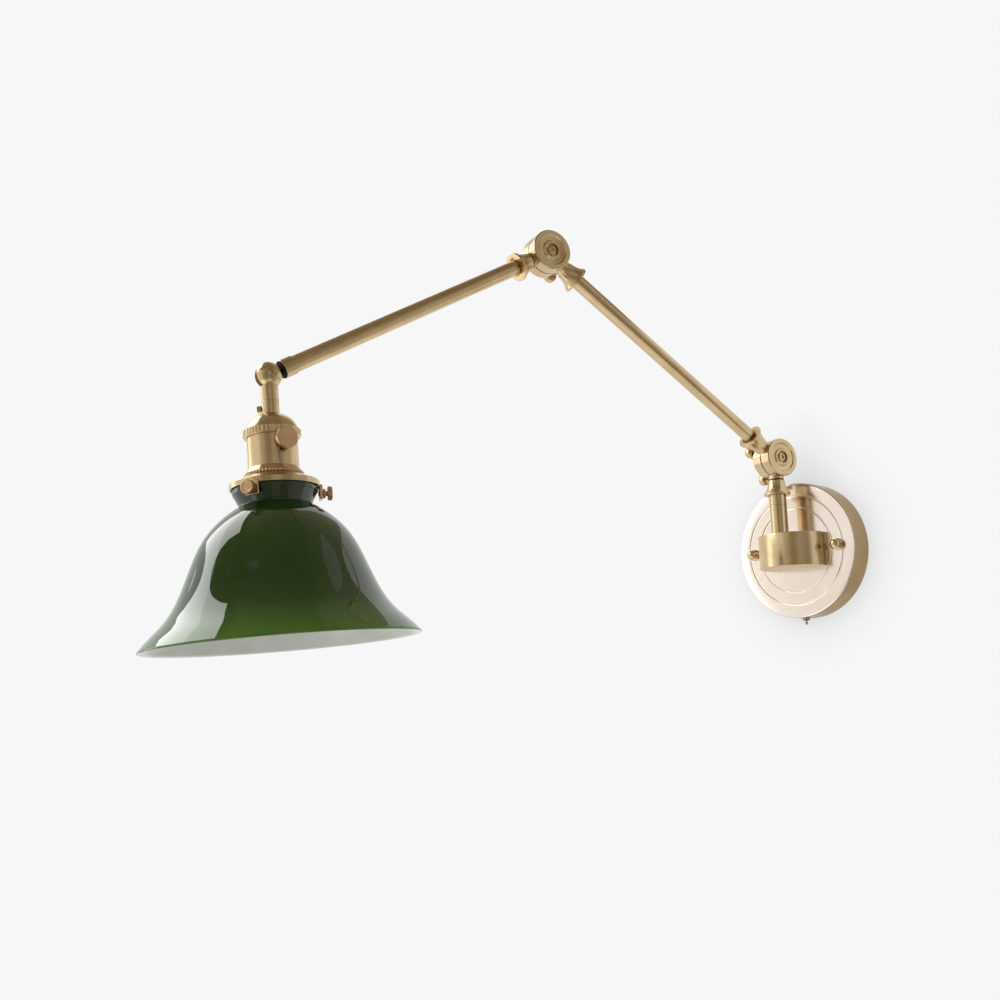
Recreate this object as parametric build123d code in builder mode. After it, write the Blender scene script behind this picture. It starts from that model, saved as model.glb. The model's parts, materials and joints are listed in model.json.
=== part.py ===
"""Folding wall lamp: wall plate, swivelling post, two-part folding arm and a shaded lampholder."""

import os
from math import cos, radians, sin

from build123d import *

# Pose at rest, in degrees
swing_angle = 10.9
lower_rise = 33.4
upper_fall = 30.2
head_lean = 3.6
head_roll = 2.6

# Clearances, in millimetres
fit_gap = 0.05
seat_gap = 0.1
running_gap = 0.3

# Wall plate and what is behind it
plate_d = 127.0
plate_depth = 21.0
plate_wall = 1.5
plate_edge_r = 1.6
groove_diameters = (102.6, 79.2)
groove_w = 1.8
groove_depth = 0.5
bracket_length = 112.0
bracket_w = 24.0
bracket_t = 2.5
bracket_hole_d = 16.0
wall_screw_spacing = 60.0
wall_screw_d = 4.6
wall_slot_length = 10.0
stud_spacing = 92.0
stud_d = 4.0
cap_nut_d = 10.0
cap_nut_skirt = 4.0
cap_nut_bore_depth = 6.0
terminal_size = (14.0, 10.0, 15.0)
terminal_x = 17.0
terminal_screw_d = 3.0
terminal_screw_sink = 1.0
terminal_corner_r = 1.0
earth_screw_x = -17.0
earth_screw_d = 4.0
earth_head_d = 8.0
earth_head_t = 2.6

# Switch in the plate's lower edge
switch_y = -11.0
switch_body = (13.0, 8.0, 9.0)
switch_bush_d = 5.6
switch_bush_out = 2.2
switch_bush_bore_d = 4.2
switch_nut_af = 7.5
switch_nut_t = 1.2
lever_d = 1.8
lever_ball_d = 3.0
lever_out = 4.2
lever_pivot_d = 3.6

# Half-round block and the post standing on it
block_r = 33.0
block_height = 31.0
block_drop = 17.5
block_edge = 0.5
block_corner_r = 4.0
nipple_d = 10.0
nipple_bore_d = 7.0
nipple_in_block = 14.0
nipple_past_nut = 1.5
nut_af = 15.0
nut_t = 3.0
post_offset = 21.0
post_d = 15.6
post_seam_z = 40.5
seam_chamfer = 0.3
spindle_d = 11.0
spindle_bore_d = 6.0
spindle_in_block = 7.0
spindle_top_z = 52.0
sleeve_shoulder_z = 47.6
sleeve_top_z = 55.0
ring_d = 13.2
ring_t = 2.0

# Folding joints
joint_z = 85.0
disc_d = 35.5
disc_t = 10.2
washer_d = 20.0
washer_t = 0.8
disc_chamfer = 0.7
recess_d = 12.0
recess_depth = 3.0
face_ring_d = 26.0
face_ring_w = 1.4
face_ring_depth = 0.6
bolt_d = 6.0
bolt_head_d = 9.6
bolt_head_t = 2.4
socket_af = 4.0
socket_depth = 1.6
spigot_d = 8.4
spigot_bore_d = 5.0
spigot_end = 27.0
collar_start = 21.0
collar_end = 35.0
collar_neck_d = 15.2
collar_mid_d = 17.2
collar_flange_d = 24.0
collar_flange_t = 2.0
collar_step = 0.6
collar_rebate = 0.8
collar_recess_d = 16.6
shoulder_d = 14.0
gap_ring_w = 1.3
grip_hub_d = 12.0
grip_hub_h = 9.0
grip_lobes = 3
grip_reach = 22.5
grip_lobe_d = 11.0
grip_web_w = 8.0
grip_lift = 1.6
grip_t = 6.4
grip_edge_r = 1.2
grip_turn_lower = 30.0
grip_turn_elbow = 105.0

# Arms
lower_arm = 291.0
upper_arm = 275.0
tube_d = 12.7
tube_wall = 1.2
lead_d = 4.4
ferrule_d = 14.2
ferrule_start = 11.4
ferrule_end = 21.0
ferrule_floor = 1.5
ferrule_chamfer = 0.4
end_ring_d = 13.4
end_ring_start = 10.2

# Ball joint and stem
ball_d = 20.0
slot_w = 6.4
slot_depth = 8.8
tongue_d = 16.4
tongue_neck_d = 5.6
tongue_short = 2.0
pivot_d = 4.0
pivot_head_d = 7.0
pivot_head_seat = 6.6
pivot_head_t = 1.8
pivot_short = 0.6
stem_d = 12.6
stem_seam = 20.0
stem_end = 29.5
stem_bore_d = 10.0
stem_nipple_start = 12.5
stem_nipple_end = 36.0
stem_nipple_bore_d = 7.0
set_screw_d = 2.8
set_screw_head_d = 5.0
set_screw_head_t = 3.0
set_screw_slot_w = 0.8
set_screw_slot_depth = 1.0
set_screw_at = 25.0
set_screw_turn = -117.5

# Lampholder
cap_end = 47.3
cap_flange_d = 40.4
cap_flange_t = 5.4
cap_wall = 1.2
cap_step = 1.0
cap_nut_room = 1.8
cap_floor = 32.6
cap_shoulder_d = 30.6
cap_shoulder_at = 34.8
dome_nut_af = 14.0
dome_nut_t = 3.0
shell_d = 36.0
shell_wall = 1.0
shell_end = 70.0
shell_slot_w = 1.6
shell_slot_from = 57.5
shell_slot_turn = -1.5
ring_outer_d = 41.0
ring_top_d = 36.6
ring_end = 75.8
ring_band = 2.0
holder_d = 32.4
holder_bore_d = 28.4
holder_start = 50.0
holder_floor = 54.5
holder_end = 82.0
holder_rib = 3.0
thread_shell_d = 28.2
thread_shell_bore_d = 26.6
thread_shell_start = 56.5
thread_shell_end = 80.0
contact_d = 7.0
contact_t = 1.6
knob_at = 52.3
knob_turn = 12.0
knob_d = 16.2
knob_t = 4.0
knob_start = 20.8
knob_shaft_d = 4.0
knob_shaft_start = 9.0
knob_shaft_room = 1.0
knob_chamfer = 0.5
shell_hole_d = 5.2

# Shade and its holder
fitter_wall = 1.2
fitter_top = 76.2
fitter_shoulder_d = 43.0
fitter_d = 63.6
fitter_skirt_at = 81.0
fitter_end = 85.0
fitter_nut_d = 38.0
fitter_nut_t = 3.0
lug_w = 10.0
lug_t = 2.6
lug_end = 94.0
lug_overlap = 1.5
lug_corner_r = 1.2
screw_at = 89.5
screw_turns = (-42.0, 78.0, 198.0)
screw_d = 3.8
screw_flange_d = 7.2
screw_flange_start = 33.6
screw_flange_t = 1.4
screw_head_d = 10.0
screw_head_start = 36.6
screw_head_t = 3.4
screw_chamfer = 0.4
glass_t = 3.5
lip_d = 60.0
lip_top = 82.5
lip_bottom = 88.0
waist_d = 50.8
waist_at = 97.0
waist_slope = 31.0
waist_flare = 59.0
shoulder_glass_d = 102.4
shoulder_glass_at = 120.5
shoulder_slope = 37.0
belly_d = 126.0
belly_at = 146.0
belly_slope = 22.0
flare_d = 155.0
flare_at = 174.0
flare_slope = 41.0
rim_d = 192.0
rim_at = 194.5
rim_slope = 38.0
rim_round = 1.0


def heading(angle):
    """Direction in the arms' upright plane, measured up from straight out."""
    out = Vector(-sin(radians(swing_angle)), -cos(radians(swing_angle)), 0)
    return out * cos(radians(angle)) + Vector(0, 0, 1) * sin(radians(angle))


# Joint centres and the planes that the pieces are drawn on
hinge_dir = Vector(-cos(radians(swing_angle)), sin(radians(swing_angle)), 0)
post_y = -(plate_depth + post_offset)
lower_joint = Vector(0, post_y, joint_z)
elbow = lower_joint + heading(lower_rise) * lower_arm
ball = elbow + heading(-upper_fall) * upper_arm
upper_line = Axis(ball, heading(-upper_fall))
head_hinge = hinge_dir.rotate(upper_line, head_roll)
head_down = heading(-90.0 - head_lean).rotate(upper_line, head_roll)

face_plane = Plane.XZ.offset(plate_depth)
post_side = Plane((0, post_y, joint_z), x_dir=(0, 0, -1), z_dir=hinge_dir)
lower_side = Plane(lower_joint, x_dir=heading(lower_rise), z_dir=hinge_dir)
lower_top_side = Plane(elbow, x_dir=heading(lower_rise) * -1, z_dir=hinge_dir)
upper_side = Plane(elbow, x_dir=heading(-upper_fall), z_dir=hinge_dir)
upper_end_side = Plane(ball, x_dir=heading(-upper_fall) * -1, z_dir=head_hinge)
head_side = Plane(ball, x_dir=head_down, z_dir=head_hinge)
head_axis = Axis(ball, head_down)
disc_gap = washer_t / 2 + seat_gap
disc_out = disc_gap + disc_t
gap_ring_start = collar_start - gap_ring_w

os.makedirs("parts", exist_ok=True)


def save(piece, name):
    """Label a finished piece and write it to its own file."""
    piece.label = name
    export_step(piece, f"parts/{name}.step")


def across(side, distance):
    """Plane square to a side plane's x axis, at a distance along it."""
    return Plane(side.origin + side.x_dir * distance, x_dir=side.z_dir, z_dir=side.x_dir)


def radial(distance, turn):
    """Plane on the head's axis whose normal points outward at a turn from the joint axis."""
    level = across(head_side, distance)
    outward = (head_hinge * -1).rotate(head_axis, -turn)
    return Plane(level.origin, x_dir=head_side.x_dir, z_dir=outward)


# Wall plate, a shallow drum open at the back
with BuildPart() as wall_plate:
    with BuildSketch(Plane.XZ):
        Circle(plate_d / 2)
    extrude(amount=plate_depth)
    fillet(wall_plate.faces().sort_by(Axis.Y)[0].edges(), plate_edge_r)
    with BuildSketch(Plane.XZ):
        Circle(plate_d / 2 - plate_wall)
    extrude(amount=plate_depth - plate_wall, mode=Mode.SUBTRACT)
    with BuildSketch(face_plane):
        for diameter in groove_diameters:
            Circle(diameter / 2 + groove_w / 2)
            Circle(diameter / 2 - groove_w / 2, mode=Mode.SUBTRACT)
    extrude(amount=-groove_depth, mode=Mode.SUBTRACT)
    with BuildSketch(face_plane):
        Circle(nipple_d / 2 + seat_gap)
        with GridLocations(stud_spacing, 1, 2, 1):
            Circle(stud_d / 2 + running_gap)
    extrude(amount=-plate_wall, mode=Mode.SUBTRACT)
    with BuildSketch(Plane.XY):
        with Locations((0, switch_y)):
            Circle(switch_bush_d / 2 + seat_gap)
    extrude(amount=-plate_d, mode=Mode.SUBTRACT)
save(wall_plate.part, "wall_plate")

# Strap that is screwed to the wall
with BuildPart() as wall_bracket:
    with BuildSketch(Plane.XZ):
        SlotOverall(bracket_length, bracket_w)
        Circle(bracket_hole_d / 2, mode=Mode.SUBTRACT)
        with GridLocations(wall_screw_spacing, 1, 2, 1):
            SlotOverall(wall_slot_length, wall_screw_d, mode=Mode.SUBTRACT)
        with GridLocations(stud_spacing, 1, 2, 1):
            Circle(stud_d / 2 + fit_gap, mode=Mode.SUBTRACT)
        with Locations((earth_screw_x, 0)):
            Circle(earth_screw_d / 2 + fit_gap, mode=Mode.SUBTRACT)
    extrude(amount=bracket_t)
save(wall_bracket.part, "wall_bracket")

with BuildPart() as bracket_studs:
    with BuildSketch(Plane.XZ):
        with GridLocations(stud_spacing, 1, 2, 1):
            Circle(stud_d / 2)
    extrude(amount=plate_depth + cap_nut_bore_depth - seat_gap)
save(bracket_studs.part, "bracket_studs")

with BuildPart() as cap_nuts:
    with BuildSketch(face_plane):
        with GridLocations(stud_spacing, 1, 2, 1):
            Circle(cap_nut_d / 2)
    extrude(amount=cap_nut_skirt)
    with Locations(face_plane.offset(cap_nut_skirt)):
        with GridLocations(stud_spacing, 1, 2, 1):
            Sphere(cap_nut_d / 2, arc_size1=0)
    with BuildSketch(face_plane):
        with GridLocations(stud_spacing, 1, 2, 1):
            Circle(stud_d / 2 + fit_gap)
    extrude(amount=cap_nut_bore_depth, mode=Mode.SUBTRACT)
save(cap_nuts.part, "cap_nuts")

# Connection block and earth screw on the strap
with BuildPart() as terminal_block:
    with BuildSketch(Plane.XZ.offset(bracket_t)):
        with Locations((terminal_x, 0)):
            RectangleRounded(terminal_size[0], terminal_size[2], terminal_corner_r)
    extrude(amount=terminal_size[1])
    with BuildSketch(Plane.XZ.offset(bracket_t + terminal_size[1])):
        with Locations((terminal_x, 0)):
            with GridLocations(1, terminal_size[2] / 2, 1, 2):
                Circle(terminal_screw_d / 2 + fit_gap)
    extrude(amount=-terminal_size[1] / 2, mode=Mode.SUBTRACT)
save(terminal_block.part, "terminal_block")

with BuildPart() as terminal_screws:
    with BuildSketch(Plane.XZ.offset(bracket_t + terminal_size[1] / 2)):
        with Locations((terminal_x, 0)):
            with GridLocations(1, terminal_size[2] / 2, 1, 2):
                Circle(terminal_screw_d / 2)
    extrude(amount=terminal_size[1] / 2 - terminal_screw_sink)
save(terminal_screws.part, "terminal_screws")

with BuildPart() as earth_screw:
    with BuildSketch(Plane.XZ):
        with Locations((earth_screw_x, 0)):
            Circle(earth_screw_d / 2)
    extrude(amount=bracket_t)
    with BuildSketch(Plane.XZ.offset(bracket_t)):
        with Locations((earth_screw_x, 0)):
            Circle(earth_head_d / 2)
    extrude(amount=earth_head_t)
save(earth_screw.part, "earth_screw")

# Switch through the plate's lower edge: body and bush, nut, and the lever that is flicked
bush_end_z = -(plate_d / 2 + switch_bush_out)
switch_seat_z = -((plate_d / 2 - plate_wall) ** 2 - (switch_body[0] / 2) ** 2) ** 0.5 + seat_gap
lever_pivot_z = switch_seat_z + switch_body[2] / 3
with BuildPart() as switch_case:
    with BuildSketch(Plane.XY.offset(switch_seat_z)):
        with Locations((0, switch_y)):
            Rectangle(switch_body[0], switch_body[1])
    extrude(amount=switch_body[2])
    with BuildSketch(Plane.XY.offset(bush_end_z)):
        with Locations((0, switch_y)):
            Circle(switch_bush_d / 2)
    extrude(amount=switch_seat_z - bush_end_z)
    with BuildSketch(Plane.XY.offset(bush_end_z)):
        with Locations((0, switch_y)):
            Circle(switch_bush_bore_d / 2)
    extrude(amount=lever_pivot_z - bush_end_z, mode=Mode.SUBTRACT)
    with Locations((0, switch_y, lever_pivot_z)):
        Sphere(lever_pivot_d / 2 + running_gap, mode=Mode.SUBTRACT)
save(switch_case.part, "switch_case")

with BuildPart() as switch_nut:
    with BuildSketch(Plane.XY.offset(-plate_d / 2 - seat_gap)):
        with Locations((0, switch_y)):
            RegularPolygon(switch_nut_af / 2, 6, major_radius=False)
            Circle(switch_bush_d / 2 + fit_gap, mode=Mode.SUBTRACT)
    extrude(amount=-switch_nut_t)
save(switch_nut.part, "switch_nut")

with BuildPart() as switch_lever:
    with BuildSketch(Plane.XY.offset(lever_pivot_z)):
        with Locations((0, switch_y)):
            Circle(lever_d / 2)
    extrude(amount=bush_end_z - lever_out + lever_ball_d / 2 - lever_pivot_z)
    with Locations((0, switch_y, lever_pivot_z)):
        Sphere(lever_pivot_d / 2)
    with Locations((0, switch_y, bush_end_z - lever_out + lever_ball_d / 2)):
        Sphere(lever_ball_d / 2)
save(switch_lever.part, "switch_lever")

# Half-round block on the plate's face
block_top_z = block_height - block_drop
with BuildPart() as support_block:
    with BuildSketch(Plane.XY.offset(-block_drop)):
        with BuildLine():
            Line((block_r, -plate_depth), (-block_r, -plate_depth))
            ThreePointArc(
                (-block_r, -plate_depth), (0, -plate_depth - block_r), (block_r, -plate_depth)
            )
        make_face()
    extrude(amount=block_height)
    fillet(support_block.edges().filter_by(Axis.Z), block_corner_r)
    chamfer(support_block.faces().filter_by(Axis.Z).edges().filter_by(GeomType.CIRCLE), block_edge)
    with BuildSketch(face_plane):
        Circle(nipple_d / 2 + fit_gap)
    extrude(amount=nipple_in_block, mode=Mode.SUBTRACT)
    with BuildSketch(face_plane):
        Circle(spindle_bore_d / 2)
    extrude(amount=post_offset, mode=Mode.SUBTRACT)
    with BuildSketch(Plane.XY.offset(block_top_z)):
        with Locations((0, post_y)):
            Circle(spindle_d / 2 + fit_gap)
    extrude(amount=-spindle_in_block, mode=Mode.SUBTRACT)
    with BuildSketch(Plane.XY):
        with Locations((0, post_y)):
            Circle(spindle_bore_d / 2)
    extrude(amount=block_top_z, mode=Mode.SUBTRACT)
save(support_block.part, "support_block")

nut_seat = plate_depth - plate_wall
with BuildPart() as block_nipple:
    with BuildSketch(Plane.XZ.offset(nut_seat - nut_t - nipple_past_nut)):
        Circle(nipple_d / 2)
        Circle(nipple_bore_d / 2, mode=Mode.SUBTRACT)
    extrude(amount=plate_wall + nut_t + nipple_past_nut + nipple_in_block)
save(block_nipple.part, "block_nipple")

with BuildPart() as nipple_nut:
    with BuildSketch(Plane.XZ.offset(nut_seat - nut_t)):
        RegularPolygon(nut_af / 2, 6, major_radius=False)
        Circle(nipple_d / 2 + fit_gap, mode=Mode.SUBTRACT)
    extrude(amount=nut_t)
save(nipple_nut.part, "nipple_nut")

# Post: fixed lower half, hollow spindle, and the sleeve that turns on it
with BuildPart() as post_base:
    with BuildSketch(Plane.XY.offset(block_top_z)):
        with Locations((0, post_y)):
            Circle(post_d / 2)
            Circle(spindle_d / 2 + fit_gap, mode=Mode.SUBTRACT)
    extrude(amount=post_seam_z - block_top_z)
    chamfer(post_base.faces().sort_by(Axis.Z)[-1].edges().sort_by(SortBy.RADIUS)[-1], seam_chamfer)
save(post_base.part, "post_base")

with BuildPart() as swivel_spindle:
    with BuildSketch(Plane.XY.offset(block_top_z - spindle_in_block)):
        with Locations((0, post_y)):
            Circle(spindle_d / 2)
            Circle(spindle_bore_d / 2, mode=Mode.SUBTRACT)
    extrude(amount=spindle_top_z - block_top_z + spindle_in_block)
save(swivel_spindle.part, "swivel_spindle")

with BuildPart() as spindle_ring:
    with BuildSketch(Plane.XY.offset(sleeve_shoulder_z + seat_gap)):
        with Locations((0, post_y)):
            Circle(ring_d / 2)
            Circle(spindle_d / 2 + fit_gap, mode=Mode.SUBTRACT)
    extrude(amount=ring_t)
save(spindle_ring.part, "spindle_ring")

with BuildPart() as swivel_sleeve:
    with BuildSketch(Plane.XY.offset(post_seam_z + seat_gap)):
        with Locations((0, post_y)):
            Circle(post_d / 2)
            Circle(spindle_d / 2 + fit_gap, mode=Mode.SUBTRACT)
    extrude(amount=sleeve_top_z - post_seam_z - seat_gap)
    chamfer(swivel_sleeve.faces().sort_by(Axis.Z)[0].edges().sort_by(SortBy.RADIUS)[-1], seam_chamfer)
    with BuildSketch(Plane.XY.offset(sleeve_shoulder_z)):
        with Locations((0, post_y)):
            Circle(ring_d / 2 + running_gap)
    extrude(amount=sleeve_top_z - sleeve_shoulder_z, mode=Mode.SUBTRACT)
save(swivel_sleeve.part, "swivel_sleeve")


def make_collar(side, entry_d, entry_depth):
    """Trumpet-shaped collar along a side plane's x axis, narrow at the joint."""
    flange_start = collar_end - collar_flange_t
    floor = collar_end - entry_depth
    with BuildPart() as collar:
        with BuildSketch(side):
            with BuildLine():
                Line((collar_start, 0), (collar_start, collar_neck_d / 2))
                Spline(
                    (collar_start, collar_neck_d / 2),
                    (spigot_end, collar_mid_d / 2),
                    (flange_start, collar_flange_d / 2 - collar_step),
                )
                Line((flange_start, collar_flange_d / 2 - collar_step), (flange_start, collar_flange_d / 2))
                Line((flange_start, collar_flange_d / 2), (collar_end, collar_flange_d / 2))
                Line((collar_end, collar_flange_d / 2), (collar_end, 0))
                Line((collar_end, 0), (collar_start, 0))
            make_face()
        revolve(axis=Axis(side.origin, side.x_dir))
        with BuildSketch(across(side, collar_start)):
            Circle(spigot_d / 2 + fit_gap)
        extrude(amount=collar_end - collar_start, mode=Mode.SUBTRACT)
        with BuildSketch(across(side, floor)):
            Circle(entry_d / 2 + fit_gap)
        extrude(amount=entry_depth, mode=Mode.SUBTRACT)
        with BuildSketch(across(side, flange_start)):
            Circle(max(collar_recess_d / 2, entry_d / 2 + collar_rebate))
        extrude(amount=collar_flange_t, mode=Mode.SUBTRACT)
    return collar.part


def make_knuckle(side, hand, shoulder_end):
    """Joint disc with the spigot that carries it; hand -1 is the half with the screw head."""
    inner = side.offset(hand * disc_gap)
    spigot_start = disc_d / 2 + running_gap
    with BuildPart() as knuckle:
        with BuildSketch(inner):
            Circle(disc_d / 2)
        extrude(amount=hand * disc_t)
        outer_face = knuckle.faces().filter_by(Axis(side.origin, side.z_dir)).sort_by(
            Axis(side.origin, side.z_dir * hand)
        )[-1]
        chamfer(outer_face.edges(), disc_chamfer)
        with BuildSketch(inner):
            with Locations((spigot_start / 2, 0)):
                Rectangle(spigot_start, spigot_d)
        extrude(amount=hand * spigot_d / 2)
        with BuildSketch(across(side, spigot_start)):
            Circle(spigot_d / 2)
        extrude(amount=spigot_end - spigot_start)
        with BuildSketch(across(side, spigot_start)):
            Circle(shoulder_d / 2)
        extrude(amount=shoulder_end - spigot_start)
        with BuildSketch(across(side, washer_d / 2 + running_gap)):
            Circle(spigot_bore_d / 2)
        extrude(amount=spigot_end, mode=Mode.SUBTRACT)
        with BuildSketch(inner):
            Circle(bolt_d / 2 + fit_gap)
        extrude(amount=hand * disc_t, mode=Mode.SUBTRACT)
        if hand < 0:
            with BuildSketch(side.offset(-disc_out)):
                Circle(recess_d / 2)
            extrude(amount=recess_depth, mode=Mode.SUBTRACT)
            with BuildSketch(side.offset(-disc_out)):
                Circle(face_ring_d / 2)
                Circle(face_ring_d / 2 - face_ring_w, mode=Mode.SUBTRACT)
            extrude(amount=face_ring_depth, mode=Mode.SUBTRACT)
    return knuckle.part


def make_bolt(side):
    """Joint screw, headed in the front disc's recess and long enough for the grip nut."""
    head_seat = disc_out - recess_depth
    with BuildPart() as bolt:
        with BuildSketch(side.offset(-head_seat)):
            Circle(bolt_d / 2)
        extrude(amount=head_seat + disc_out + seat_gap + grip_hub_h)
        with BuildSketch(side.offset(-head_seat)):
            Circle(bolt_head_d / 2)
        extrude(amount=-bolt_head_t)
        with BuildSketch(side.offset(-head_seat - bolt_head_t)):
            RegularPolygon(socket_af / 2, 6, major_radius=False)
        extrude(amount=socket_depth, mode=Mode.SUBTRACT)
    return bolt.part


def make_washer(side):
    """Friction washer between two joint discs."""
    with BuildPart() as washer:
        with BuildSketch(side.offset(-washer_t / 2)):
            Circle(washer_d / 2)
            Circle(bolt_d / 2 + fit_gap, mode=Mode.SUBTRACT)
        extrude(amount=washer_t)
    return washer.part


def make_grip_nut(side, turn):
    """Three-lobed clamping nut on the rear of a joint, one lobe at a turn from straight out."""
    seat = Plane(side.origin + hinge_dir * (disc_out + seat_gap), x_dir=heading(0), z_dir=hinge_dir)
    lobe_at = grip_reach - grip_lobe_d / 2
    with BuildPart() as nut:
        with BuildSketch(seat):
            Circle(grip_hub_d / 2)
        extrude(amount=grip_hub_h)
        with BuildSketch(seat.offset(grip_lift)):
            with PolarLocations(lobe_at, grip_lobes, start_angle=turn):
                Circle(grip_lobe_d / 2)
            with PolarLocations(lobe_at / 2, grip_lobes, start_angle=turn):
                Rectangle(lobe_at, grip_web_w)
        extrude(amount=grip_t)
        fillet(nut.edges().filter_by(GeomType.CIRCLE).group_by(SortBy.RADIUS)[0], grip_edge_r)
        with BuildSketch(seat):
            Circle(bolt_d / 2 + fit_gap)
        extrude(amount=grip_hub_h, mode=Mode.SUBTRACT)
    return nut.part


def make_tube(side, start, end):
    """Straight tube along a side plane's x axis."""
    with BuildPart() as tube:
        with BuildSketch(across(side, start)):
            Circle(tube_d / 2)
            Circle(tube_d / 2 - tube_wall, mode=Mode.SUBTRACT)
        extrude(amount=end - start)
    return tube.part


def make_rod(side, diameter, start, end):
    """Plain rod along a side plane's x axis."""
    with BuildPart() as rod:
        with BuildSketch(across(side, start)):
            Circle(diameter / 2)
        extrude(amount=end - start)
    return rod.part


def make_gap_ring(side):
    """Black ring between the shoulder of a rear disc and its collar."""
    with BuildPart() as ring:
        with BuildSketch(across(side, gap_ring_start)):
            Circle(shoulder_d / 2)
            Circle(spigot_d / 2 + fit_gap, mode=Mode.SUBTRACT)
        extrude(amount=gap_ring_w)
    return ring.part


# Collars, knuckles, screws and grip nuts of the two folding joints
post_entry = sleeve_top_z - (joint_z - collar_end)
tube_entry = collar_end - spigot_end
save(make_collar(post_side, post_d, post_entry), "post_collar")
save(make_collar(lower_side, tube_d, tube_entry), "lower_arm_collar")
save(make_collar(lower_top_side, tube_d, tube_entry), "elbow_collar_lower")
save(make_collar(upper_side, tube_d, tube_entry), "elbow_collar_upper")
save(make_knuckle(post_side, 1, gap_ring_start), "post_knuckle")
save(make_knuckle(lower_side, -1, collar_start), "lower_arm_knuckle")
save(make_knuckle(lower_top_side, -1, collar_start), "elbow_knuckle_lower")
save(make_knuckle(upper_side, 1, gap_ring_start), "elbow_knuckle_upper")
save(make_gap_ring(post_side), "post_ring")
save(make_gap_ring(upper_side), "elbow_ring")
save(make_bolt(lower_side), "lower_joint_bolt")
save(make_bolt(upper_side), "elbow_bolt")
save(make_washer(lower_side), "lower_joint_washer")
save(make_washer(upper_side), "elbow_washer")
save(make_grip_nut(lower_side, grip_turn_lower), "lower_grip_nut")
save(make_grip_nut(upper_side, grip_turn_elbow), "elbow_grip_nut")

# Arm tubes and the supply lead inside them
lead_start = disc_d / 2 + running_gap
tube_end_gap = ferrule_start + ferrule_floor
save(make_tube(lower_side, spigot_end + seat_gap, lower_arm - spigot_end - seat_gap), "lower_arm_tube")
save(make_tube(upper_side, spigot_end + seat_gap, upper_arm - tube_end_gap - seat_gap), "upper_arm_tube")
save(make_rod(lower_side, lead_d, lead_start, lower_arm - lead_start), "lower_arm_lead")
save(make_rod(upper_side, lead_d, lead_start, upper_arm - ferrule_end), "upper_arm_lead")

# End of the upper arm: ferrule, black ring, and the tongue that the ball turns on
with BuildPart() as arm_ferrule:
    with BuildSketch(across(upper_end_side, ferrule_start)):
        Circle(ferrule_d / 2)
        Circle(tongue_neck_d / 2 + fit_gap, mode=Mode.SUBTRACT)
    extrude(amount=ferrule_end - ferrule_start)
    chamfer(arm_ferrule.edges().filter_by(GeomType.CIRCLE).group_by(SortBy.RADIUS)[-1], ferrule_chamfer)
    with BuildSketch(across(upper_end_side, tube_end_gap)):
        Circle(tube_d / 2 + fit_gap)
    extrude(amount=ferrule_end - tube_end_gap, mode=Mode.SUBTRACT)
save(arm_ferrule.part, "arm_ferrule")

with BuildPart() as arm_end_ring:
    with BuildSketch(across(upper_end_side, end_ring_start)):
        Circle(end_ring_d / 2)
        Circle(tongue_neck_d / 2 + fit_gap, mode=Mode.SUBTRACT)
    extrude(amount=ferrule_start - end_ring_start)
save(arm_end_ring.part, "arm_end_ring")

with BuildPart() as ball_tongue:
    with BuildSketch(upper_end_side):
        Circle(tongue_d / 2)
    extrude(amount=slot_w / 2 - seat_gap, both=True)
    with BuildSketch(across(upper_end_side, tongue_d / 4)):
        Circle(tongue_neck_d / 2)
    extrude(amount=ferrule_end - tongue_short - tongue_d / 4)
    with BuildSketch(upper_end_side):
        Circle(pivot_d / 2 + fit_gap)
    extrude(amount=slot_w, both=True, mode=Mode.SUBTRACT)
save(ball_tongue.part, "ball_tongue")

# Slotted ball with the upper stem, its pivot screw, and the stem down to the lampholder
with BuildPart() as ball_fork:
    with Locations(head_side):
        Sphere(ball_d / 2)
    with BuildSketch(across(head_side, stem_nipple_start / 2)):
        Circle(stem_d / 2)
    extrude(amount=stem_seam - stem_nipple_start / 2)
    with BuildSketch(head_side):
        with Locations(((slot_depth - ball_d) / 2, 0)):
            Rectangle(slot_depth + ball_d, 2 * ball_d)
    extrude(amount=slot_w / 2, both=True, mode=Mode.SUBTRACT)
    with BuildSketch(head_side):
        Circle(pivot_d / 2 + fit_gap)
    extrude(amount=ball_d, both=True, mode=Mode.SUBTRACT)
    with BuildSketch(head_side.offset(-pivot_head_seat)):
        Circle(pivot_head_d / 2 + fit_gap)
    extrude(amount=-ball_d, mode=Mode.SUBTRACT)
    with BuildSketch(across(head_side, stem_nipple_start)):
        Circle(stem_bore_d / 2)
    extrude(amount=stem_seam - stem_nipple_start, mode=Mode.SUBTRACT)
save(ball_fork.part, "ball_fork")

with BuildPart() as ball_pivot:
    with BuildSketch(head_side.offset(-pivot_head_seat)):
        Circle(pivot_d / 2)
    extrude(amount=pivot_head_seat + ball_d / 2 - pivot_short)
    with BuildSketch(head_side.offset(-pivot_head_seat)):
        Circle(pivot_head_d / 2)
    extrude(amount=-pivot_head_t)
save(ball_pivot.part, "ball_pivot")

with BuildPart() as stem:
    with BuildSketch(across(head_side, stem_seam)):
        Circle(stem_d / 2)
        Circle(stem_bore_d / 2, mode=Mode.SUBTRACT)
    extrude(amount=stem_end - stem_seam)
    with BuildSketch(radial(set_screw_at, set_screw_turn)):
        Circle(set_screw_d / 2 + fit_gap)
    extrude(amount=stem_d, mode=Mode.SUBTRACT)
save(stem.part, "stem")

with BuildPart() as stem_nipple:
    with BuildSketch(across(head_side, stem_nipple_start + seat_gap)):
        Circle(stem_bore_d / 2 - fit_gap)
        Circle(stem_nipple_bore_d / 2, mode=Mode.SUBTRACT)
    extrude(amount=stem_nipple_end - stem_nipple_start - seat_gap)
save(stem_nipple.part, "stem_nipple")

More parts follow.
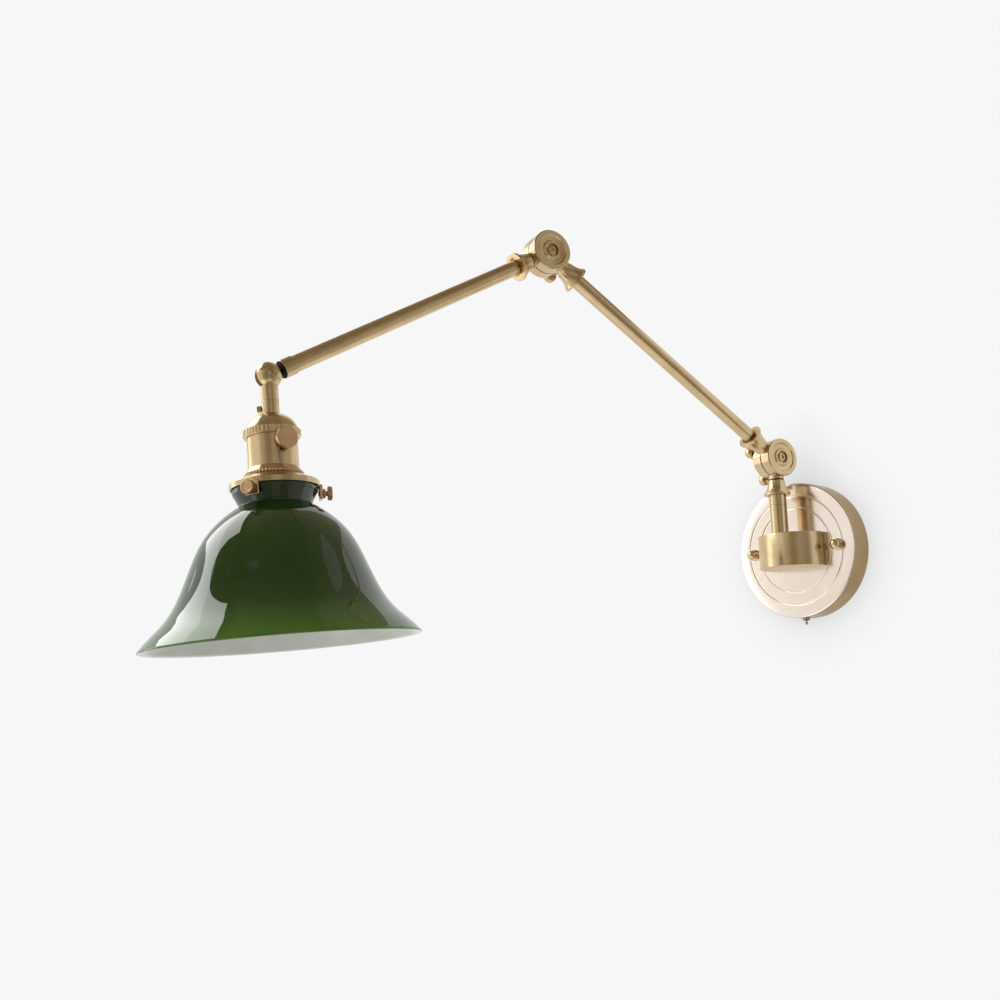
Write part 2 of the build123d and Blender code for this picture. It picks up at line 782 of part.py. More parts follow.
set_screw_plane = radial(set_screw_at, set_screw_turn)
with BuildPart() as stem_set_screw:
    with BuildSketch(set_screw_plane.offset(stem_bore_d / 2 + seat_gap)):
        Circle(set_screw_d / 2)
    extrude(amount=stem_d / 2 - stem_bore_d / 2)
    with BuildSketch(set_screw_plane.offset(stem_d / 2 + seat_gap)):
        Circle(set_screw_head_d / 2)
    extrude(amount=set_screw_head_t)
    with BuildSketch(set_screw_plane.offset(stem_d / 2 + seat_gap + set_screw_head_t)):
        Rectangle(set_screw_head_d, set_screw_slot_w)
    extrude(amount=-set_screw_slot_depth, mode=Mode.SUBTRACT)
save(stem_set_screw.part, "stem_set_screw")

# Lampholder: domed cap, slotted shell, lower ring, insulator, screw shell and contact
flange_at = cap_end - cap_flange_t
cap_inner_r = cap_shoulder_d / 2 - 2 * cap_wall
with BuildPart() as socket_cap:
    with BuildSketch(head_side):
        with BuildLine():
            Line((stem_end, 0), (stem_end, stem_d / 2))
            Spline(
                (stem_end, stem_d / 2),
                (cap_shoulder_at, cap_shoulder_d / 2),
                (flange_at, cap_flange_d / 2 - cap_step),
                tangents=((0.35, 1.0), (1.0, 0.35)),
            )
            Line((flange_at, cap_flange_d / 2 - cap_step), (flange_at, cap_flange_d / 2))
            Line((flange_at, cap_flange_d / 2), (cap_end, cap_flange_d / 2))
            Line((cap_end, cap_flange_d / 2), (cap_end, 0))
            Line((cap_end, 0), (stem_end, 0))
        make_face()
    revolve(axis=head_axis)
    with BuildSketch(head_side):
        with BuildLine():
            Line((cap_floor, 0), (cap_floor, dome_nut_af / 2 + cap_nut_room))
            Line((cap_floor, dome_nut_af / 2 + cap_nut_room), (cap_shoulder_at, cap_inner_r))
            Line((cap_shoulder_at, cap_inner_r), (flange_at, shell_d / 2 - cap_wall))
            Line((flange_at, shell_d / 2 - cap_wall), (cap_end, shell_d / 2 - cap_wall))
            Line((cap_end, shell_d / 2 - cap_wall), (cap_end, 0))
            Line((cap_end, 0), (cap_floor, 0))
        make_face()
    revolve(axis=head_axis, mode=Mode.SUBTRACT)
    with BuildSketch(across(head_side, stem_end)):
        Circle(stem_bore_d / 2)
    extrude(amount=cap_floor - stem_end, mode=Mode.SUBTRACT)
save(socket_cap.part, "socket_cap")

with BuildPart() as dome_nut:
    with BuildSketch(across(head_side, cap_floor + seat_gap)):
        RegularPolygon(dome_nut_af / 2, 6, major_radius=False)
        Circle(stem_bore_d / 2, mode=Mode.SUBTRACT)
    extrude(amount=dome_nut_t)
save(dome_nut.part, "dome_nut")

with BuildPart() as socket_shell:
    with BuildSketch(across(head_side, cap_end)):
        Circle(shell_d / 2)
        Circle(shell_d / 2 - shell_wall, mode=Mode.SUBTRACT)
    extrude(amount=shell_end - cap_end)
    with BuildSketch(radial(knob_at, knob_turn)):
        Circle(shell_hole_d / 2)
    extrude(amount=shell_d, mode=Mode.SUBTRACT)
    with BuildSketch(radial(shell_slot_from, shell_slot_turn)):
        with Locations(((shell_end - shell_slot_from) / 2, 0)):
            Rectangle(shell_end - shell_slot_from, shell_slot_w)
    extrude(amount=shell_d, mode=Mode.SUBTRACT)
save(socket_shell.part, "socket_shell")

with BuildPart() as socket_ring:
    with BuildSketch(head_side):
        with BuildLine():
            Polyline(
                (shell_end, holder_d / 2 + seat_gap),
                (shell_end, ring_top_d / 2),
                (ring_end - ring_band, ring_outer_d / 2),
                (ring_end, ring_outer_d / 2),
                (ring_end, holder_d / 2 + seat_gap),
                close=True,
            )
        make_face()
    revolve(axis=head_axis)
save(socket_ring.part, "socket_ring")

with BuildPart() as lamp_holder:
    with BuildSketch(across(head_side, holder_start)):
        Circle(holder_d / 2)
    extrude(amount=holder_end - holder_start)
    with BuildSketch(across(head_side, holder_floor)):
        Circle(holder_bore_d / 2)
    extrude(amount=holder_end - holder_floor, mode=Mode.SUBTRACT)
    with BuildSketch(radial(knob_at, knob_turn).offset(knob_shaft_start - knob_shaft_room)):
        Circle(knob_shaft_d / 2 + fit_gap)
    extrude(amount=holder_d, mode=Mode.SUBTRACT)
    with BuildSketch(across(head_side, shell_end)):
        Circle(shell_d / 2 - shell_wall - fit_gap)
        Circle(holder_bore_d / 2, mode=Mode.SUBTRACT)
    extrude(amount=-holder_rib)
save(lamp_holder.part, "lamp_holder")

with BuildPart() as screw_shell:
    with BuildSketch(across(head_side, thread_shell_start)):
        Circle(thread_shell_d / 2)
        Circle(thread_shell_bore_d / 2, mode=Mode.SUBTRACT)
    extrude(amount=thread_shell_end - thread_shell_start)
save(screw_shell.part, "screw_shell")

with BuildPart() as centre_contact:
    with BuildSketch(across(head_side, holder_floor)):
        Circle(contact_d / 2)
    extrude(amount=contact_t)
save(centre_contact.part, "centre_contact")

knob_plane = radial(knob_at, knob_turn)
with BuildPart() as switch_knob:
    with BuildSketch(knob_plane.offset(knob_shaft_start)):
        Circle(knob_shaft_d / 2)
    extrude(amount=knob_start - knob_shaft_start)
    with BuildSketch(knob_plane.offset(knob_start)):
        Circle(knob_d / 2)
    extrude(amount=knob_t)
    chamfer(switch_knob.edges().filter_by(GeomType.CIRCLE).group_by(SortBy.RADIUS)[-1], knob_chamfer)
save(switch_knob.part, "switch_knob")

# Shade holder with three lugs, the ring that clamps it, and its thumbscrews
lug_inner_r = fitter_d / 2 - fitter_wall
lug_length = lug_end - fitter_end + lug_overlap
with BuildPart() as shade_fitter:
    with BuildSketch(head_side):
        with BuildLine():
            Polyline(
                (fitter_top, holder_d / 2 + seat_gap),
                (fitter_top, fitter_shoulder_d / 2),
                (fitter_skirt_at, fitter_d / 2),
                (fitter_end, fitter_d / 2),
                (fitter_end, fitter_d / 2 - fitter_wall),
                (fitter_skirt_at + fitter_wall, fitter_d / 2 - fitter_wall),
                (fitter_top + fitter_wall, fitter_shoulder_d / 2 - fitter_wall / 2),
                (fitter_top + fitter_wall, holder_d / 2 + seat_gap),
                close=True,
            )
        make_face()
    revolve(axis=head_axis)
    for turn in screw_turns:
        with BuildSketch(radial(fitter_end - lug_overlap, turn).offset(lug_inner_r)):
            with Locations((lug_length / 2, 0)):
                RectangleRounded(lug_length, lug_w, lug_corner_r)
        extrude(amount=lug_t)
        with BuildSketch(radial(screw_at, turn)):
            Circle(screw_d / 2 + fit_gap)
        extrude(amount=fitter_d, mode=Mode.SUBTRACT)
save(shade_fitter.part, "shade_fitter")

with BuildPart() as fitter_nut:
    with BuildSketch(across(head_side, fitter_top + fitter_wall)):
        Circle(fitter_nut_d / 2)
        Circle(holder_d / 2 + seat_gap, mode=Mode.SUBTRACT)
    extrude(amount=fitter_nut_t)
save(fitter_nut.part, "fitter_nut")

screw_tip = lip_d / 2 + seat_gap
for place, turn in zip(("front", "side", "rear"), screw_turns):
    screw_plane = radial(screw_at, turn)
    with BuildPart() as thumbscrew:
        with BuildSketch(screw_plane.offset(screw_tip)):
            Circle(screw_d / 2)
        extrude(amount=screw_head_start - screw_tip)
        with BuildSketch(screw_plane.offset(screw_flange_start + seat_gap)):
            Circle(screw_flange_d / 2)
        extrude(amount=screw_flange_t)
        with BuildSketch(screw_plane.offset(screw_head_start)):
            Circle(screw_head_d / 2)
        extrude(amount=screw_head_t)
        chamfer(thumbscrew.edges().filter_by(GeomType.CIRCLE).group_by(SortBy.RADIUS)[-1], screw_chamfer)
    save(thumbscrew.part, f"thumbscrew_{place}")


def slope_dir(angle):
    """Direction of the shade's wall in its half section, at an angle from the axis."""
    return (cos(radians(angle)), sin(radians(angle)))


def inside(at, diameter, slope):
    """Point one wall in from the shade's outer face, where that face has a slope."""
    return (at + glass_t * sin(radians(slope)), diameter / 2 - glass_t * cos(radians(slope)))


# Glass shade: lip, waist, rounded shoulder, belly and flared rim, one wall thick
lip_r = lip_d / 2
rim_edge = (rim_at - rim_round, rim_d / 2)
rim_low = (rim_at, rim_d / 2 - glass_t / 2)
rim_inner = (rim_at - rim_round, rim_d / 2 - glass_t / cos(radians(rim_slope)))
waist_inner = inside(waist_at, waist_d, waist_slope)
with BuildPart() as glass_shade:
    with BuildSketch(head_side):
        with BuildLine():
            Line((lip_top, lip_r - glass_t), (lip_top, lip_r))
            Line((lip_top, lip_r), (lip_bottom, lip_r))
            Line((lip_bottom, lip_r), (waist_at, waist_d / 2))
            Spline(
                (waist_at, waist_d / 2),
                (shoulder_glass_at, shoulder_glass_d / 2),
                (belly_at, belly_d / 2),
                (flare_at, flare_d / 2),
                rim_edge,
                tangents=(slope_dir(waist_flare), slope_dir(rim_slope)),
            )
            Line(rim_edge, rim_low)
            Line(rim_low, rim_inner)
            Spline(
                rim_inner,
                inside(flare_at, flare_d, flare_slope),
                inside(belly_at, belly_d, belly_slope),
                inside(shoulder_glass_at, shoulder_glass_d, shoulder_slope),
                waist_inner,
                tangents=(slope_dir(rim_slope + 180.0), slope_dir(waist_flare + 180.0)),
            )
            Line(waist_inner, (lip_bottom, lip_r - glass_t))
            Line((lip_bottom, lip_r - glass_t), (lip_top, lip_r - glass_t))
        make_face()
    revolve(axis=head_axis)
save(glass_shade.part, "glass_shade")
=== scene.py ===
import json
import math

import bmesh
import bpy
from mathutils import Matrix, Quaternion, Vector
from mathutils.geometry import interpolate_bezier


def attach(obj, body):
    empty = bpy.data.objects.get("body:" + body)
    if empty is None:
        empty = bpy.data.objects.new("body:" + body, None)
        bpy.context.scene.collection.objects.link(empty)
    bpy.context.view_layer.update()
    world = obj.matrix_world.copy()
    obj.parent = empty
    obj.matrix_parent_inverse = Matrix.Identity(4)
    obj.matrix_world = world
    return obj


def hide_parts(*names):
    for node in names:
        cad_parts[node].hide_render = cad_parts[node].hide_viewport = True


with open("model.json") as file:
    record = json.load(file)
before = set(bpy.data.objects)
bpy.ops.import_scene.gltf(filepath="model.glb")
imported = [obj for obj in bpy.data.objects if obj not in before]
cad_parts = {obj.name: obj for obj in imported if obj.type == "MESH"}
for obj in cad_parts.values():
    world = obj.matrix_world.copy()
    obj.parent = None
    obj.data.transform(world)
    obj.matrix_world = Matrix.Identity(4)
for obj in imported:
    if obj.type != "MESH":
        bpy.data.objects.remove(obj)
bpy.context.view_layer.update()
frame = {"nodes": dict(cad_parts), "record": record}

nodes = frame["nodes"]
scene = bpy.context.scene
mm = 0.001
print("frame loaded:", len(nodes), "nodes")

# lengths in mm, angles in degrees, as the lamp hangs at rest
pose = {"swing": 10.9, "lowerRise": 33.4, "upperFall": 30.2, "headLean": 3.6, "headRoll": 2.6,
        "lowerArm": 291.0, "upperArm": 275.0, "postOut": 42.0, "jointUp": 85.0}
swingTurn = math.radians(pose["swing"])


def heading(angle):  # away from the wall along the swung arm, raised by an angle
    rise = math.radians(angle)
    out = Vector((-math.sin(swingTurn), -math.cos(swingTurn), 0))
    return out * math.cos(rise) + Vector((0, 0, math.sin(rise)))


hinge = Vector((-math.cos(swingTurn), math.sin(swingTurn), 0))
wallOut = Vector((0, -1, 0))
upright = Vector((0, 0, 1))
lowerDir = heading(pose["lowerRise"])
upperDir = heading(-pose["upperFall"])
headTurn = Quaternion(upperDir, math.radians(pose["headRoll"]))  # the arm's end sits slightly turned
headDown = headTurn @ heading(-90 - pose["headLean"])
headHinge = headTurn @ hinge
postFoot = Vector((0, -pose["postOut"], 0)) * mm
lowerJoint = postFoot + upright * pose["jointUp"] * mm
elbow = lowerJoint + lowerDir * pose["lowerArm"] * mm
ball = elbow + upperDir * pose["upperArm"] * mm


def placeOn(origin, axis, side):  # local z along axis, local x towards side
    z = axis.normalized()
    x = (side - z * side.dot(z)).normalized()
    place = Matrix((x, z.cross(x), z)).transposed().to_4x4()
    place.translation = origin
    return place


wallPlace = placeOn(Vector((0, 0, 0)), wallOut, Vector((1, 0, 0)))
postPlace = placeOn(postFoot, upright, Vector((1, 0, 0)))
headPlace = placeOn(ball, headDown, -headHinge)


def radialPlace(along, turn):  # local z straight out of the head, at a turn from the joint's front
    outward = Quaternion(headDown, math.radians(-turn)) @ -headHinge
    return placeOn(ball + headDown * along * mm, outward, headDown)


# materials: clouds and grain are sized in mm, with grain coarser than the real one so that it shows
def hexColour(code):
    def linear(value):  # the sRGB curve
        return value / 12.92 if value <= 0.04045 else ((value + 0.055) / 1.055) ** 2.4
    return tuple(linear(int(code[i:i + 2], 16) / 255) for i in (1, 3, 5)) + (1.0,)


def addNode(tree, kind, values=None, links=None, **settings):
    node = tree.nodes.new(kind)
    for key, value in settings.items():
        setattr(node, key, value)
    for key, value in (values or {}).items():
        node.inputs[key].default_value = value
    for key, socket in (links or {}).items():
        tree.links.new(socket, node.inputs[key])
    return node


def startMaterial(name):
    material = bpy.data.materials.new(name)
    material.use_nodes = True
    material.node_tree.nodes.clear()
    return material, material.node_tree


def fillRamp(ramp, stops):
    while len(ramp.elements) < len(stops):
        ramp.elements.new(0.5)
    for element, (position, code) in zip(ramp.elements, stops):
        element.position = position
        element.color = hexColour(code)


noiseSpan = (0.3, 0.7)  # nearly all of a noise texture's values lie between these


def patterned(name, look):
    material, tree = startMaterial(name)
    coords = addNode(tree, "ShaderNodeTexCoord").outputs["Object"]
    cloud = addNode(tree, "ShaderNodeTexNoise",
                    {"Scale": 1000 / look["cloudMm"], "Detail": 4.0}, {"Vector": coords})
    tint = addNode(tree, "ShaderNodeValToRGB", None, {"Fac": cloud.outputs["Fac"]})
    fillRamp(tint.color_ramp, tuple(zip(noiseSpan, (look["dark"], look["light"]))))
    grain = addNode(tree, "ShaderNodeTexNoise",
                    {"Scale": 1000 / look["grainMm"], "Detail": 3.0}, {"Vector": coords})
    gloss = addNode(tree, "ShaderNodeMapRange",
                    {"From Min": noiseSpan[0], "From Max": noiseSpan[1],
                     "To Min": look["rough"] - look["roughSpread"],
                     "To Max": look["rough"] + look["roughSpread"]},
                    {"Value": grain.outputs["Fac"]})
    bump = addNode(tree, "ShaderNodeBump",
                   {"Strength": look["bump"], "Distance": look["bumpMm"] * mm},
                   {"Height": grain.outputs["Fac"]})
    shader = addNode(tree, "ShaderNodeBsdfPrincipled", look["sockets"],
                     {"Base Color": tint.outputs["Color"], "Roughness": gloss.outputs["Result"],
                      "Normal": bump.outputs["Normal"]})
    if "Anisotropic" in look["sockets"]:  # the brushing follows the turned piece's own UV map
        brushed = addNode(tree, "ShaderNodeTangent", direction_type="UV_MAP")
        tree.links.new(brushed.outputs["Tangent"], shader.inputs["Tangent"])
    addNode(tree, "ShaderNodeOutputMaterial", None, {"Surface": shader.outputs["BSDF"]})
    return material


# satin brass: pale and warm, faintly clouded; turned pieces are brushed the way they were spun
brassLook = {"light": "#D7C097", "dark": "#C8AF85", "cloudMm": 18.0, "grainMm": 2.5, "rough": 0.24,
             "roughSpread": 0.03, "bump": 0.03, "bumpMm": 0.05, "sockets": {"Metallic": 1.0}}
brushedLook = dict(brassLook, rough=0.23, roughSpread=0.01, bump=0.01,
                   sockets={"Metallic": 1.0, "Anisotropic": 0.5, "Anisotropic Rotation": 0.25})
# the plate's spun face under clear lacquer: smoother, so it mirrors the post softly, and painted paler than
# the brass as a painted highlight of bright light
plateHighlightLook = dict(brassLook, light="#F2E5D8", dark="#E9DACA", cloudMm=40.0, rough=0.17,
                 sockets={"Metallic": 1.0, "Coat Weight": 0.5, "Coat Roughness": 0.1})
# the plate's side, painted darker and browner than its face as painted shade
rimShadeLook = dict(brassLook, light="#B1966F", dark="#A0855F", cloudMm=30.0)
# brass with more copper in it, turned and left a little rougher
roseLook = {"light": "#D9B591", "dark": "#CBA581", "cloudMm": 7.0, "grainMm": 1.5, "rough": 0.3,
            "roughSpread": 0.04, "bump": 0.05, "bumpMm": 0.05, "sockets": {"Metallic": 1.0}}
# zinc-plated steel: grey-blue, spangled in small patches
zincLook = {"light": "#C9CCD0", "dark": "#A4A9AE", "cloudMm": 4.0, "grainMm": 0.6, "rough": 0.34,
            "roughSpread": 0.06, "bump": 0.12, "bumpMm": 0.04, "sockets": {"Metallic": 1.0}}
# nitrile rubber: moulded, matt black
rubberLook = {"light": "#0F0E0D", "dark": "#090807", "cloudMm": 3.0, "grainMm": 0.5, "rough": 0.8,
              "roughSpread": 0.08, "bump": 0.2, "bumpMm": 0.05,
              "sockets": {"Metallic": 0.0, "IOR": 1.52}}
# phenolic plastic: moulded, dark brown-black
plasticLook = {"light": "#2B2725", "dark": "#211E1C", "cloudMm": 5.0, "grainMm": 0.5, "rough": 0.42,
               "roughSpread": 0.06, "bump": 0.15, "bumpMm": 0.04,
               "sockets": {"Metallic": 0.0, "IOR": 1.55}}
# pressed fibre: dull red-brown with visible flecks
fibreLook = {"light": "#8A5240", "dark": "#6B3A2C", "cloudMm": 1.2, "grainMm": 0.4, "rough": 0.75,
             "roughSpread": 0.08, "bump": 0.3, "bumpMm": 0.05,
             "sockets": {"Metallic": 0.0, "IOR": 1.5}}
# PVC sheath: smooth, pale
sheathLook = {"light": "#D9D6CE", "dark": "#CBC7BC", "cloudMm": 6.0, "grainMm": 0.8, "rough": 0.45,
              "roughSpread": 0.05, "bump": 0.1, "bumpMm": 0.04,
              "sockets": {"Metallic": 0.0, "IOR": 1.54}}
# glazed porcelain: warm white under a clear glaze
porcelainLook = {"light": "#EEEAE0", "dark": "#E2DCCF", "cloudMm": 6.0, "grainMm": 1.5, "rough": 0.14,
                 "roughSpread": 0.04, "bump": 0.08, "bumpMm": 0.05,
                 "sockets": {"Metallic": 0.0, "IOR": 1.5, "Coat Weight": 0.4}}
# opal glass lining: milky, soft gloss
opalLook = {"light": "#E9ECE3", "dark": "#DDE2D6", "cloudMm": 25.0, "grainMm": 4.0, "rough": 0.16,
            "roughSpread": 0.03, "bump": 0.04, "bumpMm": 0.1,
            "sockets": {"Metallic": 0.0, "IOR": 1.52, "Subsurface Weight": 0.15,
                        "Subsurface Scale": 0.003}}

finish = {"satin_brass": patterned("satinBrass", brassLook),
          "rose_brass": patterned("turnedRoseBrass", roseLook),
          "zinc_steel": patterned("zincPlatedSteel", zincLook),
          "black_ring": patterned("nitrileRubber", rubberLook),
          "dark_plastic": patterned("phenolicPlastic", plasticLook),
          "fibre_washer": patterned("pressedFibre", fibreLook),
          "lead_sheath": patterned("pvcSheath", sheathLook),
          "porcelain": patterned("glazedPorcelain", porcelainLook)}
opalGlass = patterned("opalGlassLining", opalLook)
brushedBrass = patterned("brushedBrass", brushedLook)
plateFacePaintedHighlight = patterned("plateFacePaintedHighlight", plateHighlightLook)
rimPaintedShade = patterned("rimPaintedShade", rimShadeLook)

# green glass cased over opal: deep and mirror-smooth, brighter towards the rim partly as the glass thins
# where it was opened out and partly as painted light showing through it
greenLook = {"from": 82.5, "to": 194.5, "rough": 0.03,
             "stops": ((0.0, "#1A2E0D"), (0.12, "#1E350E"), (0.35, "#24430D"), (0.62, "#213D0D"),
                       (0.8, "#27470D"), (0.9, "#345B0D"), (1.0, "#4C751B")),
             "ior": 1.6, "waveMm": 16.0, "wave": 0.08, "waveDeepMm": 0.6}


def casedGlass(name, look):
    material, tree = startMaterial(name)
    coords = addNode(tree, "ShaderNodeTexCoord").outputs["Object"]
    local = addNode(tree, "ShaderNodeVectorMath", {1: ball}, {0: coords}, operation="SUBTRACT")
    along = addNode(tree, "ShaderNodeVectorMath", {1: headDown}, {0: local.outputs["Vector"]},
                    operation="DOT_PRODUCT")
    share = addNode(tree, "ShaderNodeMapRange",
                    {"From Min": look["from"] * mm, "From Max": look["to"] * mm},
                    {"Value": along.outputs["Value"]})
    # darker at the neck, brighter towards the rim: partly thinner glass, partly painted light shining through
    tint = addNode(tree, "ShaderNodeValToRGB", None, {"Fac": share.outputs["Result"]})
    fillRamp(tint.color_ramp, look["stops"])
    wave = addNode(tree, "ShaderNodeTexNoise",
                   {"Scale": 1000 / look["waveMm"], "Detail": 1.0}, {"Vector": coords})
    bump = addNode(tree, "ShaderNodeBump",
                   {"Strength": look["wave"], "Distance": look["waveDeepMm"] * mm},
                   {"Height": wave.outputs["Fac"]})
    shader = addNode(tree, "ShaderNodeBsdfPrincipled",
                     {"Metallic": 0.0, "IOR": look["ior"], "Roughness": look["rough"]},
                     {"Base Color": tint.outputs["Color"], "Normal": bump.outputs["Normal"]})
    addNode(tree, "ShaderNodeOutputMaterial", None, {"Surface": shader.outputs["BSDF"]})
    return material


finish["green_glass"] = casedGlass("greenCasedGlass", greenLook)
print("materials made")

# profiles: corners straighter than flatFrom degrees stay, and a rounding takes at most a share of the
# straight beside it, with a point further out, at hold times its reach, to keep that straight flat
rounding = {"flatFrom": 158.0, "share": 0.24, "hold": 1.7, "steps": 4}


def rod(start, end, radius):
    return [(start, 0), (start, radius), (end, radius), (end, 0)]


def smoothCurve(knots, step):  # through knots of along, radius and slope, with a point about every step
    path = [Vector(knots[0][:2])]
    for first, second in zip(knots, knots[1:]):
        start, stop = Vector(first[:2]), Vector(second[:2])
        chord = (stop - start).length
        leave, arrive = (Vector((math.cos(math.radians(slope)), math.sin(math.radians(slope)))) * chord / 3
                         for slope in (first[2], second[2]))
        count = round(chord / step) + 1
        path += interpolate_bezier(start, start + leave, stop - arrive, stop, count)[1:]
    return path


def flaredProfile(size):  # out from the axis, along a curve, then round the flange
    return [(size["curve"][0][0], 0), *smoothCurve(size["curve"], size["step"]), *size["flange"]]


def softened(points, radius, closed):  # rounds a profile's corners
    path = []
    for i, point in enumerate(points):
        here = Vector(point)
        if not closed and i in (0, len(points) - 1):
            path.append(here)
            continue
        back, ahead = Vector(points[i - 1]) - here, Vector(points[(i + 1) % len(points)]) - here
        if back.angle(ahead) > math.radians(rounding["flatFrom"]):
            path.append(here)
            continue
        reach = min(radius, back.length * rounding["share"], ahead.length * rounding["share"])
        back, ahead = back.normalized() * reach, ahead.normalized() * reach
        path.append(here + back * rounding["hold"])
        for k in range(rounding["steps"] + 1):
            s = k / rounding["steps"]
            path.append((here + back) * (1 - s) ** 2 + here * 2 * s * (1 - s) + (here + ahead) * s ** 2)
        path.append(here + ahead * rounding["hold"])
    return path


# mesh helpers
def turnInto(bm, points, place, soft, closed=False, steps=96):  # a lathe
    rings = []
    onAxis = 1e-4  # a ring of less radius is one point
    for along, radius in softened(points, soft, closed):
        ring = []
        for k in range(steps if radius > onAxis else 1):
            turn = 2 * math.pi * k / steps
            spot = Vector((radius * mm * math.cos(turn), radius * mm * math.sin(turn), along * mm))
            ring.append(bm.verts.new(place @ spot))
        rings.append(ring)
    made = []
    sheet = bm.loops.layers.uv.verify()
    pairs = list(zip(rings, rings[1:])) + ([(rings[-1], rings[0])] if closed else [])
    for row, (first, second) in enumerate(pairs):
        for k in range(steps):
            early = (first[k % len(first)], second[k % len(second)])
            late = (first[(k + 1) % len(first)], second[(k + 1) % len(second)])
            corners = list(dict.fromkeys((early[0], late[0], late[1], early[1])))
            if len(corners) > 2:
                made.append(bm.faces.new(corners))
                for loop in made[-1].loops:  # u runs round the piece, v along its profile
                    across = k + (loop.vert in late)
                    down = row + (loop.vert not in (early[0], late[0]))
                    loop[sheet].uv = (across / steps, down / len(pairs))
    bmesh.ops.recalc_face_normals(bm, faces=made)
    return made


def addPiece(mesh, name, sharp=None):  # shaded smooth, but crisp at edges past the sharp angle
    for polygon in mesh.polygons:
        polygon.use_smooth = True
    if sharp:
        mesh.set_sharp_from_angle(angle=math.radians(sharp))
    piece = bpy.data.objects.new(name, mesh)
    scene.collection.objects.link(piece)
    return piece


def toObject(bm, name, sharp=None):
    mesh = bpy.data.meshes.new(name)
    bm.to_mesh(mesh)
    bm.free()
    return addPiece(mesh, name, sharp)


def baked(piece):  # its mesh with its modifiers applied
    ready = piece.evaluated_get(bpy.context.evaluated_depsgraph_get())
    return bpy.data.meshes.new_from_object(ready)


def prism(outline, low, high):  # an outline drawn up from one height to another
    bm = bmesh.new()
    rows = [[bm.verts.new((x * mm, y * mm, z * mm)) for x, y in outline] for z in (low, high)]
    for row in rows:
        bm.faces.new(row)
    for k in range(len(outline)):
        j = (k + 1) % len(outline)
        bm.faces.new((rows[0][k], rows[0][j], rows[1][j], rows[1][k]))
    bmesh.ops.recalc_face_normals(bm, faces=bm.faces)
    return bm


def roundEdges(bm, width, segments, crease=0.0):  # those that turn by more than crease degrees
    rims = [edge for edge in bm.edges if edge.calc_face_angle(0) > math.radians(crease)]
    bmesh.ops.bevel(bm, geom=rims, offset=width * mm, segments=segments, profile=0.5, affect="EDGES")
    return bm


def turned(name, points, place, soft, closed=False, steps=96):
    bm = bmesh.new()
    turnInto(bm, points, place, soft, closed, steps)
    return toObject(bm, name)


cadCopy = {"merge": 0.002, "sharp": 26.0}


def smoothCopy(name, node):  # a CAD node's own shape, merged and shaded as one surface
    bm = bmesh.new()
    bm.from_mesh(nodes[node].data)
    bmesh.ops.remove_doubles(bm, verts=bm.verts, dist=cadCopy["merge"] * mm)
    piece = toObject(bm, name, cadCopy["sharp"])
    for extra in [a.name for a in piece.data.attributes if "normal" in a.name.lower()]:
        piece.data.attributes.remove(piece.data.attributes[extra])
    return piece


def dress(piece, slot, body, *replaced):
    brushed = slot == "satin_brass" and piece.data.uv_layers
    if piece.data.materials:
        piece.data.materials.clear()
    piece.data.materials.append(brushedBrass if brushed else finish[slot])
    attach(piece, body)
    if replaced:
        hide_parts(*replaced)
    return piece


# node trees for what repeats
def startTree(name, inputs):
    tree = bpy.data.node_groups.new(name, "GeometryNodeTree")
    for label, kind in inputs:
        tree.interface.new_socket(label, in_out="INPUT", socket_type=kind)
    tree.interface.new_socket("Geometry", in_out="OUTPUT", socket_type="NodeSocketGeometry")
    return tree, addNode(tree, "NodeGroupInput").outputs


def endTree(tree, geometry, material):
    real = addNode(tree, "GeometryNodeRealizeInstances", None, {"Geometry": geometry})
    painted = addNode(tree, "GeometryNodeSetMaterial", None,
                      {"Geometry": real.outputs["Geometry"], "Material": material})
    addNode(tree, "NodeGroupOutput", None, {"Geometry": painted.outputs["Geometry"]})
    return tree


def ringOf(tree, given, instance):  # an instance at each point of a circle
    circle = addNode(tree, "GeometryNodeMeshCircle", None,
                     {"Vertices": given["Count"], "Radius": given["Radius"]})
    copies = addNode(tree, "GeometryNodeInstanceOnPoints", None,
                     {"Points": circle.outputs["Mesh"], "Instance": instance})
    return endTree(tree, copies.outputs["Instances"], given["Material"])


def knurlTree():
    tree, given = startTree("knurlRibs", (("Count", "NodeSocketInt"), ("Radius", "NodeSocketFloat"),
                                          ("Rib Radius", "NodeSocketFloat"),
                                          ("Rib Length", "NodeSocketFloat"),
                                          ("Material", "NodeSocketMaterial")))
    rib = addNode(tree, "GeometryNodeMeshCylinder", {"Vertices": 8},
                  {"Radius": given["Rib Radius"], "Depth": given["Rib Length"]})
    return ringOf(tree, given, rib.outputs["Mesh"])


def beadTree():
    tree, given = startTree("beadRow", (("Count", "NodeSocketInt"), ("Radius", "NodeSocketFloat"),
                                        ("Bead Radius", "NodeSocketFloat"),
                                        ("Material", "NodeSocketMaterial")))
    bead = addNode(tree, "GeometryNodeMeshIcoSphere", {"Subdivisions": 2},
                   {"Radius": given["Bead Radius"]})
    return ringOf(tree, given, bead.outputs["Mesh"])


